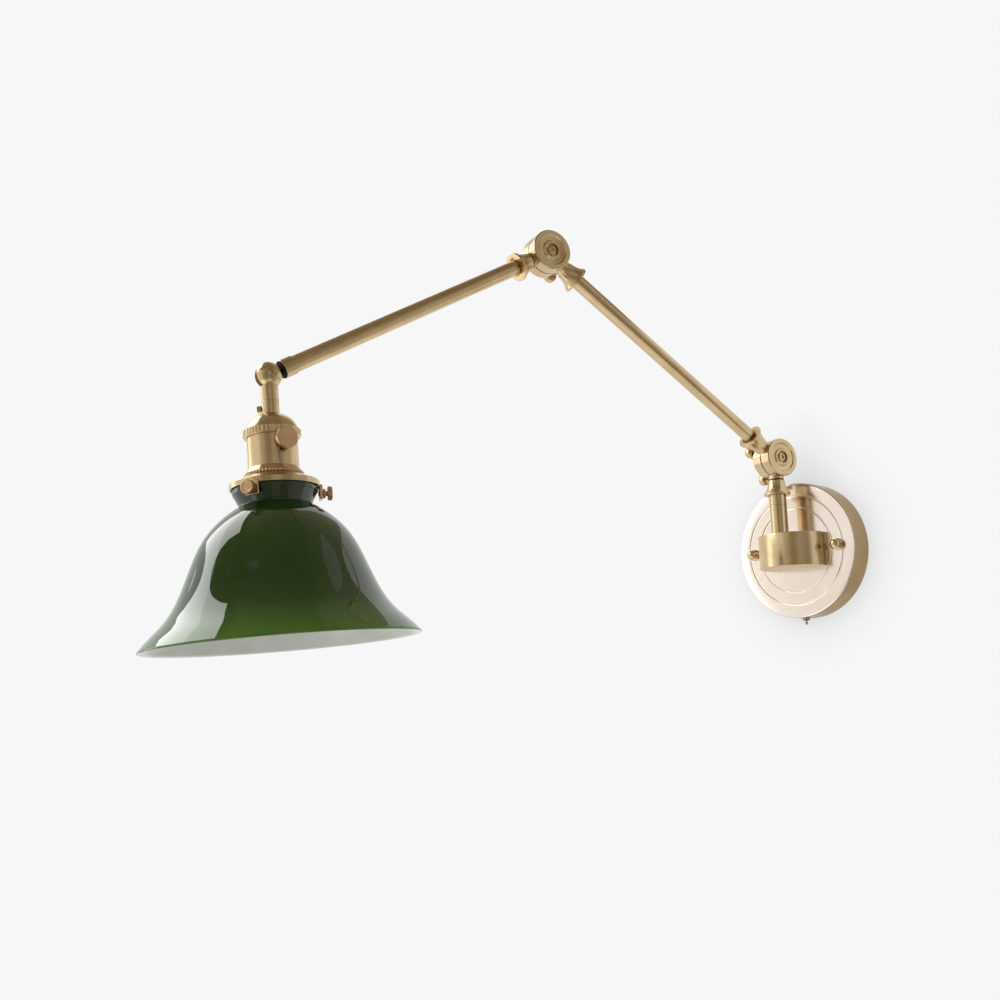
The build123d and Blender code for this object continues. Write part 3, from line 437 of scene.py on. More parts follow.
def aroundTree():
    tree, given = startTree("copiesAround", (("Count", "NodeSocketInt"), ("Start", "NodeSocketFloat"),
                                             ("Piece", "NodeSocketObject"),
                                             ("Material", "NodeSocketMaterial")))
    points = addNode(tree, "GeometryNodePoints", None, {"Count": given["Count"]})
    full = addNode(tree, "ShaderNodeMath", {0: 2 * math.pi}, {1: given["Count"]}, operation="DIVIDE")
    turn = addNode(tree, "ShaderNodeMath", None,
                   {0: addNode(tree, "GeometryNodeInputIndex").outputs["Index"],
                    1: full.outputs["Value"], 2: given["Start"]}, operation="MULTIPLY_ADD")
    spin = addNode(tree, "ShaderNodeCombineXYZ", None, {"Z": turn.outputs["Value"]})
    source = addNode(tree, "GeometryNodeObjectInfo", None, {"Object": given["Piece"]})
    copies = addNode(tree, "GeometryNodeInstanceOnPoints", None,
                     {"Points": points.outputs["Points"], "Instance": source.outputs["Geometry"],
                      "Rotation": spin.outputs["Vector"]})
    return endTree(tree, copies.outputs["Instances"], given["Material"])


def rowTree():
    tree, given = startTree("copiesInRow", (("Count", "NodeSocketInt"), ("First", "NodeSocketVector"),
                                            ("Step", "NodeSocketVector"),
                                            ("Piece", "NodeSocketObject"),
                                            ("Material", "NodeSocketMaterial")))
    row = addNode(tree, "GeometryNodeMeshLine", None,
                  {"Count": given["Count"], "Start Location": given["First"], "Offset": given["Step"]})
    source = addNode(tree, "GeometryNodeObjectInfo", None, {"Object": given["Piece"]})
    copies = addNode(tree, "GeometryNodeInstanceOnPoints", None,
                     {"Points": row.outputs["Mesh"], "Instance": source.outputs["Geometry"]})
    return endTree(tree, copies.outputs["Instances"], given["Material"])


def threadTree():
    tree, given = startTree("threadTurns", (("Turns", "NodeSocketFloat"), ("Radius", "NodeSocketFloat"),
                                            ("Height", "NodeSocketFloat"),
                                            ("Ridge", "NodeSocketFloat"),
                                            ("Material", "NodeSocketMaterial")))
    spiral = addNode(tree, "GeometryNodeCurveSpiral", {"Resolution": 48},
                     {"Rotations": given["Turns"], "Start Radius": given["Radius"],
                      "End Radius": given["Radius"], "Height": given["Height"]})
    ridge = addNode(tree, "GeometryNodeCurvePrimitiveCircle", {"Resolution": 8},
                    {"Radius": given["Ridge"]})
    swept = addNode(tree, "GeometryNodeCurveToMesh", {"Fill Caps": True},
                    {"Curve": spiral.outputs["Curve"], "Profile Curve": ridge.outputs["Curve"]})
    return endTree(tree, swept.outputs["Mesh"], given["Material"])


def fromTree(name, tree, values, place, sharp):
    carrier = addPiece(bpy.data.meshes.new(name + ".carrier"), name + ".carrier")
    modifier = carrier.modifiers.new("nodes", "NODES")
    modifier.node_group = tree
    for item in tree.interface.items_tree:
        if item.in_out == "INPUT":
            modifier[item.identifier] = values[item.name]
    mesh = baked(carrier)
    carrier.modifiers.remove(modifier)
    bpy.data.objects.remove(carrier)
    mesh.name = name
    mesh.transform(place)
    return addPiece(mesh, name, sharp)


knurls, beading, around = knurlTree(), beadTree(), aroundTree()
inRow, threads = rowTree(), threadTree()

# wall plate: spun drum with a rolled edge and two turned grooves
wallPlate = {"radius": 63.5, "depth": 21.0, "wall": 1.5, "edge": 1.6, "grooves": (51.3, 39.6),
             "grooveHalf": 0.9, "grooveFloor": 0.4, "grooveDepth": 0.5, "edgeSteps": 6, "soft": 0.15,
             "sideFrom": 0.5}


def plateProfile(size):
    radius, depth, edge = size["radius"], size["depth"], size["edge"]
    points = [(depth, 0.0)]
    for middle in reversed(size["grooves"]):
        points += [(depth, middle - size["grooveHalf"]),
                   (depth - size["grooveDepth"], middle - size["grooveFloor"]),
                   (depth - size["grooveDepth"], middle + size["grooveFloor"]),
                   (depth, middle + size["grooveHalf"])]
    for k in range(size["edgeSteps"] + 1):
        bend = math.pi / 2 * k / size["edgeSteps"]
        points.append((depth - edge + edge * math.cos(bend), radius - edge + edge * math.sin(bend)))
    points += [(0.0, radius), (0.0, radius - size["wall"]),
               (depth - size["wall"], radius - size["wall"]), (depth - size["wall"], 0.0)]
    return points


drum = dress(turned("plateDrum", plateProfile(wallPlate), wallPlace, wallPlate["soft"], steps=192),
             "satin_brass", "wall", "wall_plate")
# the face takes the paler brass, a painted highlight
drum.data.materials[0] = plateFacePaintedHighlight
# faces turned sideways take the darker brass, a painted shade
drum.data.materials.append(rimPaintedShade)
for polygon in drum.data.polygons:
    onSide = abs(polygon.normal.dot(wallOut)) < wallPlate["sideFrom"]
    polygon.material_index = 1 if onSide else 0

# two domed cap nuts on the face
capNut = {"radius": 5.0, "skirt": 4.0, "spacing": 92.0, "foot": 0.4, "footHigh": 1.0, "footSlope": 0.3,
          "domeSteps": 8, "edge": 0.12}


def capNutProfile(size, seat):
    radius, skirt = size["radius"], seat + size["skirt"]
    footTop = seat + size["footHigh"]
    points = [(seat, 0.0), (seat, radius + size["foot"]), (footTop, radius + size["foot"]),
              (footTop + size["footSlope"], radius)]
    for k in range(size["domeSteps"] + 1):
        bend = math.pi / 2 * k / size["domeSteps"]
        points.append((skirt + radius * math.sin(bend), max(0.0, radius * math.cos(bend))))
    return points


oneNut = turned("capNutMaster", capNutProfile(capNut, wallPlate["depth"]), wallPlace, capNut["edge"])
nutStep = Vector((capNut["spacing"] * mm, 0, 0))
dress(fromTree("domedCapNuts", inRow, {"Count": 2, "First": -nutStep / 2, "Step": nutStep,
                                       "Piece": oneNut, "Material": finish["satin_brass"]},
               Matrix.Identity(4), sharp=60), "satin_brass", "wall", "cap_nuts")
bpy.data.objects.remove(oneNut)

# half-round block that carries the post
block = {"radius": 33.0, "corner": 4.0, "low": -17.5, "high": 13.5, "edge": 0.6, "steps": 96,
         "cornerSteps": 10, "crease": 40.0}


def halfRound(size, back):
    radius, corner = size["radius"], size["corner"]
    tilt = math.asin(corner / (radius - corner))
    middle = (radius - corner) * math.cos(tilt)
    bends = [math.pi / 2 - (math.pi / 2 + tilt) * k / size["cornerSteps"]
             for k in range(size["cornerSteps"])]
    side = [(middle + corner * math.cos(b), -corner + corner * math.sin(b)) for b in bends]
    sweep = [tilt + (math.pi - 2 * tilt) * k / size["steps"] for k in range(size["steps"] + 1)]
    outline = side + [(radius * math.cos(b), -radius * math.sin(b)) for b in sweep]
    outline += [(-x, y) for x, y in reversed(side)]
    bm = prism([(x, y - back) for x, y in outline], size["low"], size["high"])
    return roundEdges(bm, size["edge"], segments=3, crease=size["crease"])


dress(toObject(halfRound(block, wallPlate["depth"]), "halfRoundBlock", sharp=24),
      "satin_brass", "wall", "support_block")

# post: fixed foot and the sleeve that swivels on it, parted by a fine seam
post = {"radius": 7.8, "foot": 13.5, "seam": 40.5, "gap": 0.1, "top": 55.0, "edge": 0.35}
dress(turned("postFoot", rod(post["foot"], post["seam"], post["radius"]), postPlace, post["edge"]),
      "satin_brass", "wall", "post_base")
dress(turned("postSleeve", rod(post["seam"] + post["gap"], post["top"], post["radius"]), postPlace,
             post["edge"]), "satin_brass", "swivel", "swivel_sleeve")
print("wall side built")

# trumpet collars where the arms and the post meet their joint discs
collar = {"curve": ((21.0, 7.6, 1.8), (33.0, 11.4, 33.4)), "step": 1.6,
          "flange": ((33.0, 12.0), (35.0, 12.0), (35.0, 8.3), (33.0, 8.3), (33.0, 0.0)), "edge": 0.25}
jointEnds = {"post": (lowerJoint, -upright), "lower": (lowerJoint, lowerDir),
             "lowerTop": (elbow, -lowerDir), "upper": (elbow, upperDir)}
collarSites = (("postCollar", "post", "swivel", "post_collar"),
               ("lowerArmCollar", "lower", "lower_arm", "lower_arm_collar"),
               ("elbowCollarLower", "lowerTop", "lower_arm", "elbow_collar_lower"),
               ("elbowCollarUpper", "upper", "upper_arm", "elbow_collar_upper"))
for name, end, body, node in collarSites:
    dress(turned(name, flaredProfile(collar), placeOn(*jointEnds[end], hinge), collar["edge"]),
          "satin_brass", body, node)

# joint discs: the front one has a turned ring and a screw recess, the rear one is plain
disc = {"radius": 17.75, "inner": 0.5, "outer": 10.7, "chamfer": 0.7,
        "face": ((10.7, 13.4), (9.7, 12.7), (9.2, 8.6), (10.4, 7.6), (10.4, 6.0), (7.7, 6.0), (7.7, 0.0)),
        "neck": 7.0, "neckStart": 16.0, "neckEnd": 21.0, "ringWide": 1.3, "edge": 0.2, "neckEdge": 0.1}
discSites = (("postDisc", "post", 1, "swivel", "post_knuckle"),
             ("lowerArmDisc", "lower", -1, "lower_arm", "lower_arm_knuckle"),
             ("elbowDiscLower", "lowerTop", -1, "lower_arm", "elbow_knuckle_lower"),
             ("elbowDiscUpper", "upper", 1, "upper_arm", "elbow_knuckle_upper"))


def discProfile(size, front):
    radius, outer, chamfer = size["radius"], size["outer"], size["chamfer"]
    points = [(size["inner"], 0.0), (size["inner"], radius), (outer - chamfer, radius),
              (outer, radius - chamfer)]
    if front:
        points += size["face"]
    else:
        points.append((outer, 0.0))
    return points


for name, end, hand, body, node in discSites:
    bm = bmesh.new()
    origin, direction = jointEnds[end]
    turnInto(bm, discProfile(disc, hand < 0), placeOn(origin, hinge * hand, upright), disc["edge"])
    stop = disc["neckEnd"] if hand < 0 else disc["neckEnd"] - disc["ringWide"]
    turnInto(bm, rod(disc["neckStart"], stop, disc["neck"]), placeOn(origin, direction, hinge),
             disc["neckEdge"])
    dress(toObject(bm, name), "satin_brass", body, node)

# black rings between the rear discs and their collars
gapRing = {"start": 19.7, "end": 21.0, "radius": 7.0, "edge": 0.3}
for name, end, body, node in (("postGapRing", "post", "swivel", "post_ring"),
                              ("elbowGapRing", "upper", "upper_arm", "elbow_ring")):
    dress(turned(name, rod(gapRing["start"], gapRing["end"], gapRing["radius"]),
                 placeOn(*jointEnds[end], hinge), gapRing["edge"]), "black_ring", body, node)

# joint screws: domed heads sunk in the front discs
jointScrew = {"profile": ((-19.8, 0.0), (-19.8, 3.0), (7.7, 3.0), (7.7, 4.2), (9.4, 4.2), (10.2, 3.3),
                          (10.5, 1.9), (9.0, 1.7), (9.0, 0.0)), "edge": 0.25}
for name, origin, node in (("lowerJointScrew", lowerJoint, "lower_joint_bolt"),
                           ("elbowScrew", elbow, "elbow_bolt")):
    dress(turned(name, jointScrew["profile"], placeOn(origin, -hinge, upright), jointScrew["edge"],
                 steps=48), "satin_brass", "lower_arm", node)

# clamping nuts with three rounded lobes, behind the joints
grip = {"seat": 10.8, "hub": 6.0, "hubHigh": 9.0, "lobes": 3, "lobeAt": 17.0, "lobe": 5.5, "web": 4.0,
        "lift": 1.6, "thick": 6.4, "edge": 1.6, "crease": 60.0, "steps": 24, "hubTaper": 0.8,
        "hubEdge": 0.6}


def gripLobe(size):
    spread = math.pi - math.asin(size["web"] / size["lobe"])
    outline = [(0.0, -size["web"])]
    for k in range(size["steps"] + 1):
        bend = -spread + 2 * spread * k / size["steps"]
        outline.append((size["lobeAt"] + size["lobe"] * math.cos(bend), size["lobe"] * math.sin(bend)))
    outline.append((0.0, size["web"]))
    bm = prism(outline, size["lift"], size["lift"] + size["thick"])
    return roundEdges(bm, size["edge"], segments=4, crease=size["crease"])


oneLobe = toObject(gripLobe(grip), "gripLobeMaster")
for name, origin, turn, body, node in (("lowerGrip", lowerJoint, 30.0, "lower_grip", "lower_grip_nut"),
                                       ("elbowGrip", elbow, 105.0, "elbow_grip", "elbow_grip_nut")):
    gripPlace = placeOn(origin + hinge * grip["seat"] * mm, hinge, heading(0))
    lobes = fromTree(name + "Lobes", around, {"Count": grip["lobes"], "Start": math.radians(turn),
                                              "Piece": oneLobe, "Material": finish["satin_brass"]},
                     gripPlace, sharp=40)
    hub = turned(name + "Hub", [(0, 0), (0, grip["hub"]), (grip["hubHigh"], grip["hub"] - grip["hubTaper"]),
                                (grip["hubHigh"], 0)], gripPlace, grip["hubEdge"])
    dress(lobes, "satin_brass", body, node)
    dress(hub, "satin_brass", body)
bpy.data.objects.remove(oneLobe)
print("joints built")

# arm tubes, drawn and polished
tube = {"radius": 6.35, "edge": 0.2, "lower": (27.1, 263.9), "upper": (27.1, 262.0)}
for name, key, origin, direction, body, node in (
        ("lowerTube", "lower", lowerJoint, lowerDir, "lower_arm", "lower_arm_tube"),
        ("upperTube", "upper", elbow, upperDir, "upper_arm", "upper_arm_tube")):
    start, stop = tube[key]
    dress(turned(name, rod(start, stop, tube["radius"]), placeOn(origin, direction, hinge), tube["edge"]),
          "satin_brass", body, node)

# end of the upper arm: ferrule, black ring, then the slotted ball on its tongue
ferrule = {"start": 11.4, "end": 21.0, "radius": 7.1, "edge": 0.4, "ringStart": 10.2, "ringRadius": 6.7}
endPlace = placeOn(ball, -upperDir, hinge)
dress(turned("armFerrule", rod(ferrule["start"], ferrule["end"], ferrule["radius"]), endPlace,
             ferrule["edge"]), "satin_brass", "upper_arm", "arm_ferrule")
dress(turned("armEndRing", rod(ferrule["ringStart"], ferrule["start"], ferrule["ringRadius"]), endPlace,
             ferrule["edge"]), "black_ring", "upper_arm", "arm_end_ring")
for name, body, node in (("ballTongue", "upper_arm", "ball_tongue"), ("ballFork", "head", "ball_fork"),
                         ("stemSetScrew", "head", "stem_set_screw"),
                         ("socketShell", "head", "socket_shell")):
    dress(smoothCopy(name, node), "satin_brass", body, node)

# pivot screw through the ball, its head rounded with the ball and slotted
pivot = {"profile": ((-9.4, 0.0), (-9.4, 2.0), (6.6, 2.0), (6.6, 3.55), (9.1, 3.55), (9.6, 2.4), (9.85, 0.0)),
         "edge": 0.2, "slotLong": 12.0, "slotWide": 1.5, "slotDeep": 1.4, "slotTurn": 50.0, "sharp": 35.0}


def slotted(piece, size, place):
    bm = bmesh.new()
    made = bmesh.ops.create_cube(bm, size=1.0)["verts"]
    bmesh.ops.scale(bm, vec=(size["slotLong"] * mm, size["slotWide"] * mm, 2 * size["slotDeep"] * mm),
                    verts=made)
    turn = Matrix.Rotation(math.radians(size["slotTurn"]), 4, "Z")
    bm.transform(place @ Matrix.Translation((0, 0, size["profile"][-1][0] * mm)) @ turn)
    cutter = toObject(bm, "slotCutter")
    cut = piece.modifiers.new("slot", "BOOLEAN")
    cut.operation, cut.solver, cut.object = "DIFFERENCE", "EXACT", cutter
    mesh = baked(piece)
    piece.modifiers.remove(cut)
    piece.data = mesh
    mesh.set_sharp_from_angle(angle=math.radians(size["sharp"]))
    bpy.data.objects.remove(cutter)
    return piece


pivotPlace = placeOn(ball, -headHinge, headDown)
pivotScrew = turned("ballPivot", pivot["profile"], pivotPlace, pivot["edge"], steps=48)
dress(slotted(pivotScrew, pivot, pivotPlace), "satin_brass", "head", "ball_pivot")

# stem and domed cap of the lampholder
stem = {"seam": 20.0, "end": 29.5, "radius": 6.3, "edge": 0.3}
dress(turned("lowerStem", rod(stem["seam"], stem["end"], stem["radius"]), headPlace, stem["edge"]),
      "satin_brass", "head", "stem")
dome = {"curve": ((29.5, 6.3, 70.5), (34.8, 15.3, 42.0), (41.9, 19.2, 19.1)), "step": 1.7,
        "flange": ((41.9, 20.2), (47.3, 20.2), (47.3, 16.8), (42.5, 16.8), (42.5, 0.0)), "edge": 0.5}
dress(turned("domedCap", flaredProfile(dome), headPlace, dome["edge"]), "satin_brass", "head", "socket_cap")
lowerRing = {"profile": ((70.0, 16.3), (70.0, 18.3), (73.8, 20.5), (75.8, 20.5), (75.8, 16.3)),
             "edge": 0.4}
dress(turned("lowerRing", lowerRing["profile"], headPlace, lowerRing["edge"], closed=True),
      "satin_brass", "head", "socket_ring")

# knurled band on the dome's flange, and a beaded edge on the lower ring
band = {"count": 46, "at": 44.6, "radius": 19.6, "rib": 1.0, "long": 4.4}
dress(fromTree("capKnurl", knurls, {"Count": band["count"], "Radius": band["radius"] * mm,
                                    "Rib Radius": band["rib"] * mm, "Rib Length": band["long"] * mm,
                                    "Material": finish["satin_brass"]},
               headPlace @ Matrix.Translation((0, 0, band["at"] * mm)), sharp=60), "satin_brass", "head")
beads = {"count": 52, "at": 74.6, "radius": 20.1, "bead": 1.15}
dress(fromTree("lowerRingBeads", beading, {"Count": beads["count"], "Radius": beads["radius"] * mm,
                                           "Bead Radius": beads["bead"] * mm,
                                           "Material": finish["satin_brass"]},
               headPlace @ Matrix.Translation((0, 0, beads["at"] * mm)), sharp=80), "satin_brass", "head")

# lampholder inside the shade: rolled thread in the screw shell
screwShell = {"outer": 14.1, "inner": 13.3, "start": 56.5, "end": 80.0, "pitch": 3.63, "ridge": 0.55,
              "plainEnd": 1.5, "edge": 0.2}
shellTurns = (screwShell["end"] - screwShell["start"] - 2 * screwShell["plainEnd"]) / screwShell["pitch"]
dress(turned("screwShell", [(screwShell["start"], screwShell["inner"]),
                            (screwShell["start"], screwShell["outer"]),
                            (screwShell["end"], screwShell["outer"]),
                            (screwShell["end"], screwShell["inner"])], headPlace, screwShell["edge"],
             closed=True), "satin_brass", "head", "screw_shell")
threadStart = (screwShell["start"] + screwShell["plainEnd"]) * mm
threadPlace = headPlace @ Matrix.Translation((0, 0, threadStart))
dress(fromTree("rolledThread", threads,
               {"Turns": shellTurns, "Radius": screwShell["inner"] * mm,
                "Height": shellTurns * screwShell["pitch"] * mm, "Ridge": screwShell["ridge"] * mm,
                "Material": finish["satin_brass"]}, threadPlace, sharp=60), "satin_brass", "head")

# turn knob: plain disc on a short shaft
knob = {"at": 52.3, "turn": 12.0, "radius": 8.1, "shaft": 2.0, "shaftStart": 9.0, "start": 20.8,
        "thick": 4.0, "crown": 0.25, "edge": 0.55}
knobTop = knob["start"] + knob["thick"]
dress(turned("turnKnob", [(knob["shaftStart"], 0), (knob["shaftStart"], knob["shaft"]),
                          (knob["start"], knob["shaft"]), (knob["start"], knob["radius"]),
                          (knobTop - knob["crown"], knob["radius"]), (knobTop, 0)],
             radialPlace(knob["at"], knob["turn"]), knob["edge"]), "rose_brass", "knob", "switch_knob")

# shade holder: spun cup with three lugs
fitter = {"cup": ((76.2, 16.3), (76.2, 21.5), (81.0, 31.8), (85.0, 31.8), (85.0, 30.6), (82.2, 30.6),
                  (77.4, 20.9), (77.4, 16.3)), "edge": 0.45, "lugStart": 83.5, "lugEnd": 94.0,
          "lugWide": 10.0, "lugIn": 30.6, "lugThick": 2.6, "lugEdge": 0.6, "lugs": 3, "turn": -42.0}


def lugBlock(size):
    bm = bmesh.new()
    made = bmesh.ops.create_cube(bm, size=1.0)["verts"]
    length = size["lugEnd"] - size["lugStart"]
    bmesh.ops.scale(bm, vec=(size["lugThick"] * mm, size["lugWide"] * mm, length * mm), verts=made)
    bmesh.ops.translate(bm, vec=((size["lugIn"] + size["lugThick"] / 2) * mm, 0,
                                 (size["lugStart"] + length / 2) * mm), verts=made)
    return roundEdges(bm, size["lugEdge"], segments=3)


dress(turned("shadeHolder", fitter["cup"], headPlace, fitter["edge"], closed=True, steps=144),
      "satin_brass", "head", "shade_fitter")
oneLug = toObject(lugBlock(fitter), "lugMaster")
dress(fromTree("shadeHolderLugs", around, {"Count": fitter["lugs"],
                                           "Start": math.radians(-fitter["turn"]), "Piece": oneLug,
                                           "Material": finish["satin_brass"]}, headPlace, sharp=40),
      "satin_brass", "head")
bpy.data.objects.remove(oneLug)

# thumbscrews with ribbed heads
thumb = {"at": 89.5, "turns": (("front", -42.0), ("side", 78.0), ("rear", 198.0)), "tip": 30.1,
         "shaft": 1.9, "flange": 3.6, "flangeStart": 33.7, "flangeEnd": 35.1, "headStart": 36.6,
         "headEnd": 40.0, "head": 4.7, "dishIn": 1.2, "dishSlope": 0.4, "dishDeep": 0.3, "ribs": 26,
         "rib": 0.4, "ribShort": 0.8, "edge": 0.35}
dishRadius = thumb["head"] - thumb["dishIn"]
dishFloor = thumb["headEnd"] - thumb["dishDeep"]
for place, turn in thumb["turns"]:
    thumbPlace = radialPlace(thumb["at"], turn)
    body = "thumb_" + place
    profile = [(thumb["tip"], 0), (thumb["tip"], thumb["shaft"]), (thumb["flangeStart"], thumb["shaft"]),
               (thumb["flangeStart"], thumb["flange"]), (thumb["flangeEnd"], thumb["flange"]),
               (thumb["flangeEnd"], thumb["shaft"]), (thumb["headStart"], thumb["shaft"]),
               (thumb["headStart"], thumb["head"]), (thumb["headEnd"], thumb["head"]),
               (thumb["headEnd"], dishRadius), (dishFloor, dishRadius - thumb["dishSlope"]),
               (dishFloor, 0)]
    dress(turned("thumbscrew." + place, profile, thumbPlace, thumb["edge"], steps=64),
          "rose_brass", body, "thumbscrew_" + place)
    ribPlace = thumbPlace @ Matrix.Translation((0, 0, (thumb["headStart"] + thumb["headEnd"]) / 2 * mm))
    dress(fromTree("thumbscrewRibs." + place, knurls,
                   {"Count": thumb["ribs"], "Radius": thumb["head"] * mm,
                    "Rib Radius": thumb["rib"] * mm,
                    "Rib Length": (thumb["headEnd"] - thumb["headStart"] - thumb["ribShort"]) * mm,
                    "Material": finish["rose_brass"]}, ribPlace, sharp=50), "rose_brass", body)

# glass shade: ground lip, waist, rounded shoulder and flared rim, green outside and opal inside
# a knot is a place along the head, a radius and a slope in degrees
shade = {"wall": 3.5, "step": 6.8, "edge": 0.6, "lip": ((82.5, 28.2), (82.5, 30.0), (88.0, 30.0)),
         "waist": (97.0, 25.4, 59.3), "shoulder": (120.5, 51.2, 33.4), "belly": (146.0, 63.0, 22.0),
         "flare": (174.0, 77.5, 39.1), "rimOut": (193.0, 95.7, 37.2),
         "rim": ((194.1, 96.0), (194.5, 95.2), (194.4, 94.0)), "rimIn": (193.5, 91.56, 37.2),
         "waistIn": (98.8, 22.4, 59.3), "lipIn": ((88.0, 26.5), (82.5, 26.5))}


def oneWallIn(knot, wall):
    along, radius, slope = knot
    return (along + wall * math.sin(math.radians(slope)), radius - wall * math.cos(math.radians(slope)),
            slope)


def shadeProfile(size):  # its inner curve is one wall in, between ends of its own
    middle = [size[key] for key in ("shoulder", "belly", "flare")]
    inner = [oneWallIn(knot, size["wall"]) for knot in middle]
    outside = smoothCurve((size["waist"], *middle, size["rimOut"]), size["step"])
    inside = smoothCurve((size["waistIn"], *inner, size["rimIn"]), size["step"])
    return [*size["lip"], *outside, *size["rim"], *reversed(inside), *size["lipIn"]]


def shadeMesh(size):
    bm = bmesh.new()
    made = turnInto(bm, shadeProfile(size), headPlace, size["edge"], closed=True, steps=192)
    toHead = headPlace.inverted()
    for face in made:
        middle = toHead @ face.calc_center_median()
        facing = (toHead.to_3x3() @ face.normal).xy.dot(middle.xy)
        face.material_index = 1 if facing < 0 else 0
    return bm


glass = dress(toObject(shadeMesh(shade), "glassShade"), "green_glass", "head", "glass_shade")
glass.data.materials.append(opalGlass)
print("head and shade built")

# every CAD node takes its finish from the record's slots; those that aren't replaced keep their shapes
for entry in frame["record"]["subparts"]:
    mesh = nodes[entry["node"]].data
    mesh.materials.clear()
    mesh.materials.append(finish[entry["material_slot"]])
print("remaining nodes finished")

# camera where the photograph was taken; focal and frame are in pixels
eye = {"place": (556.876, -815.882, -114.403), "yaw": 51.561, "pitch": 10.246, "roll": -1.218,
       "focal": 994.49, "frame": 1000.0, "sensor": 36.0}
yaw, pitch, roll = (math.radians(eye[key]) for key in ("yaw", "pitch", "roll"))
ahead = Vector((-math.sin(yaw) * math.cos(pitch), math.cos(yaw) * math.cos(pitch), math.sin(pitch)))
right = Vector((math.cos(yaw), math.sin(yaw), 0))
top = right.cross(ahead)
turnedRight = right * math.cos(roll) + top * math.sin(roll)
turnedTop = top * math.cos(roll) - right * math.sin(roll)
camera = bpy.data.objects.new("camera", bpy.data.cameras.new("camera"))
camera.matrix_world = Matrix((turnedRight, turnedTop, -ahead)).transposed().to_4x4()
camera.location = Vector(eye["place"]) * mm
camera.data.sensor_width = eye["sensor"]
camera.data.lens = eye["sensor"] * eye["focal"] / eye["frame"]
scene.collection.objects.link(camera)
scene.camera = camera

# pale floor and wall, in metres; the wall can be seen through from behind
stage = {"floorDown": -1.6, "floorHalf": 8.0, "floorShort": -0.06, "wallBack": 0.001, "paint": "#E6E5E3",
         "white": "#F7F7F7", "glow": 0.55, "shade": 0.45, "shadeReach": 0.05, "fill": 0.55}


def seenDirectly(tree):  # 1 for camera, glossy and transmission rays, to which the stage is white
    path = addNode(tree, "ShaderNodeLightPath").outputs
    either = addNode(tree, "ShaderNodeMath", None,
                     {0: path["Is Camera Ray"], 1: path["Is Glossy Ray"]}, operation="MAXIMUM")
    direct = addNode(tree, "ShaderNodeMath", None,
                     {0: either.outputs["Value"], 1: path["Is Transmission Ray"]}, operation="MAXIMUM")
    return direct.outputs["Value"]


def stagePaint(name, seeThrough):
    material, tree = startMaterial(name)
    matt = addNode(tree, "ShaderNodeBsdfDiffuse", {"Color": hexColour(stage["paint"])})
    glow = addNode(tree, "ShaderNodeEmission",
                   {"Color": hexColour(stage["white"]), "Strength": stage["glow"]})
    near = addNode(tree, "ShaderNodeAmbientOcclusion",  # darker close to the object, as its soft shadow
                   {"Color": hexColour(stage["white"]), "Distance": stage["shadeReach"]})
    shaded = addNode(tree, "ShaderNodeEmission", {"Strength": stage["shade"]},
                     {"Color": near.outputs["Color"]})
    seen = addNode(tree, "ShaderNodeAddShader", None,
                   {0: glow.outputs["Emission"], 1: shaded.outputs["Emission"]})
    surface = addNode(tree, "ShaderNodeMixShader", None,
                      {0: seenDirectly(tree), 1: matt.outputs["BSDF"], 2: seen.outputs["Shader"]})
    if seeThrough:
        behind = addNode(tree, "ShaderNodeNewGeometry").outputs["Backfacing"]
        clear = addNode(tree, "ShaderNodeBsdfTransparent")
        surface = addNode(tree, "ShaderNodeMixShader", None,
                          {0: behind, 1: surface.outputs["Shader"], 2: clear.outputs["BSDF"]})
    addNode(tree, "ShaderNodeOutputMaterial", None, {"Surface": surface.outputs["Shader"]})
    return material


def stageSheet(name, corners, material):
    mesh = bpy.data.meshes.new(name)
    mesh.from_pydata(corners, [], [(0, 1, 2, 3)])
    mesh.materials.append(material)
    sheet = bpy.data.objects.new(name, mesh)
    scene.collection.objects.link(sheet)
    return sheet


half, down, back = stage["floorHalf"], stage["floorDown"], stage["wallBack"]
short = stage["floorShort"]
stageSheet("floor", ((-half, -half, down), (half, -half, down), (half, short, down),
                     (-half, short, down)), stagePaint("paleFloor", False))
wall = stageSheet("backWall", ((-half, back, down), (half, back, down), (half, back, half),
                               (-half, back, half)), stagePaint("paleWall", True))

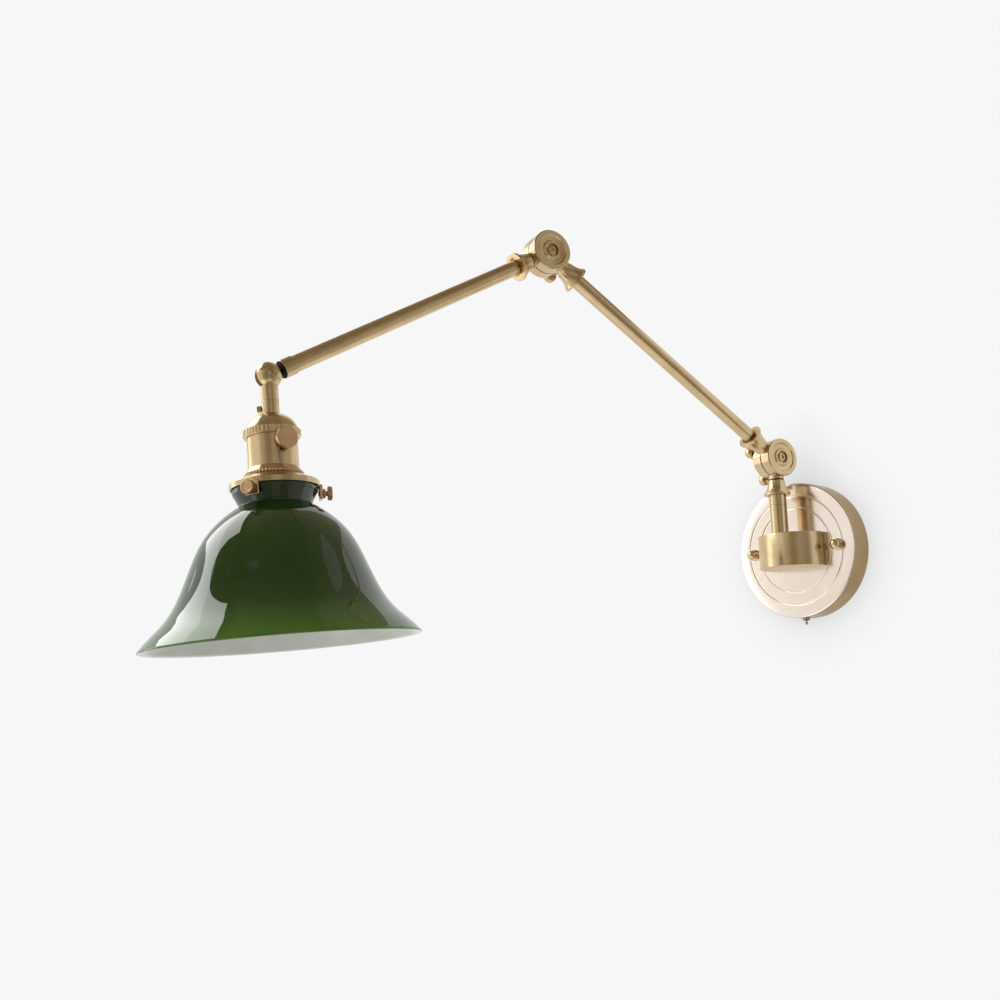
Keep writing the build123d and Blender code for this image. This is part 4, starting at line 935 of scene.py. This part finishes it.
# cloths behind and beside the camera, on the wall and overhead, in metres; only reflections see them
clothLook = dict(fibreLook, cloudMm=160.0, grainMm=10.0, rough=0.9)
cloth = {"tan": patterned("tanCloth", dict(clothLook, light="#C0B29C", dark="#B2A48E")),
         "cream": patterned("creamCloth", dict(clothLook, light="#F0EBE2", dark="#E4DED4")),
         "upright": (("clothLeft", "cream", (0.05, -2.3), (0.6, -1.8), -1.5, 1.6),
                     ("clothMiddle", "tan", (0.6, -1.8), (1.15, -1.3), -1.5, 1.6),
                     ("clothAhead", "cream", (1.15, -1.3), (1.75, -0.75), -1.5, 1.6),
                     ("clothRight", "tan", (1.75, -0.75), (1.3, -0.08), -1.5, 1.6),
                     ("clothSide", "cream", (1.3, -0.08), (0.15, -0.08), -1.5, 0.65),
                     ("clothSideTop", "tan", (1.3, -0.08), (0.15, -0.08), 0.65, 1.6),
                     ("clothWall", "tan", (0.15, -0.08), (-0.35, -0.08), 0.3, 1.6)),
         "over": ((-1.6, -3.2, 1.6), (1.75, -3.2, 1.6), (1.75, -0.02, 1.6), (-1.6, -0.02, 1.6))}
sheets = [stageSheet(name, ((*near, low), (*far, low), (*far, high), (*near, high)), cloth[kind])
          for name, kind, near, far, low, high in cloth["upright"]]
sheets.append(stageSheet("clothOver", cloth["over"], cloth["tan"]))
for sheet in sheets:
    sheet.visible_camera = sheet.visible_diffuse = sheet.visible_shadow = False

world = bpy.data.worlds.new("studio")
world.use_nodes = True
scene.world = world
sky = world.node_tree
sky.nodes.clear()
softFill = addNode(sky, "ShaderNodeBackground",
                   {"Color": hexColour(stage["white"]), "Strength": stage["fill"]})
whiteRoom = addNode(sky, "ShaderNodeBackground", {"Color": hexColour(stage["white"]), "Strength": 1.0})
room = addNode(sky, "ShaderNodeMixShader", None,
               {0: seenDirectly(sky), 1: softFill.outputs["Background"],
                2: whiteRoom.outputs["Background"]})
addNode(sky, "ShaderNodeOutputWorld", None, {"Surface": room.outputs["Shader"]})

# soft boxes at the left, high and level like a tall window, and one below; all are kept off the wall
# each has its place, aim, width and height in metres, and its power in watts
offWall = bpy.data.collections.new("offWall")
offWall.objects.link(wall)
offWall.collection_objects[0].light_linking.link_state = "EXCLUDE"
softBoxes = (("highBox", (-1.19, -1.16, 1.1), (-0.1, -0.5, 0.0), 1.2, 1.0, 13.0),
             ("levelBox", (-1.61, -1.35, 0.1), (-0.03, -0.1, 0.02), 0.65, 1.0, 2.3),
             ("lowBox", (-0.5, -1.3, -1.3), (-0.12, -0.5, 0.0), 1.2, 1.2, 3.0))
for name, spot, aim, wide, tall, power in softBoxes:
    lamp = bpy.data.lights.new(name, "AREA")
    lamp.shape = "RECTANGLE"
    lamp.size, lamp.size_y, lamp.energy = wide, tall, power
    box = bpy.data.objects.new(name, lamp)
    box.location = spot
    box.rotation_euler = (Vector(aim) - Vector(spot)).to_track_quat("-Z", "Y").to_euler()
    box.light_linking.receiver_collection = offWall
    scene.collection.objects.link(box)
scene.view_settings.view_transform = "Standard"
print("stage and lights set")
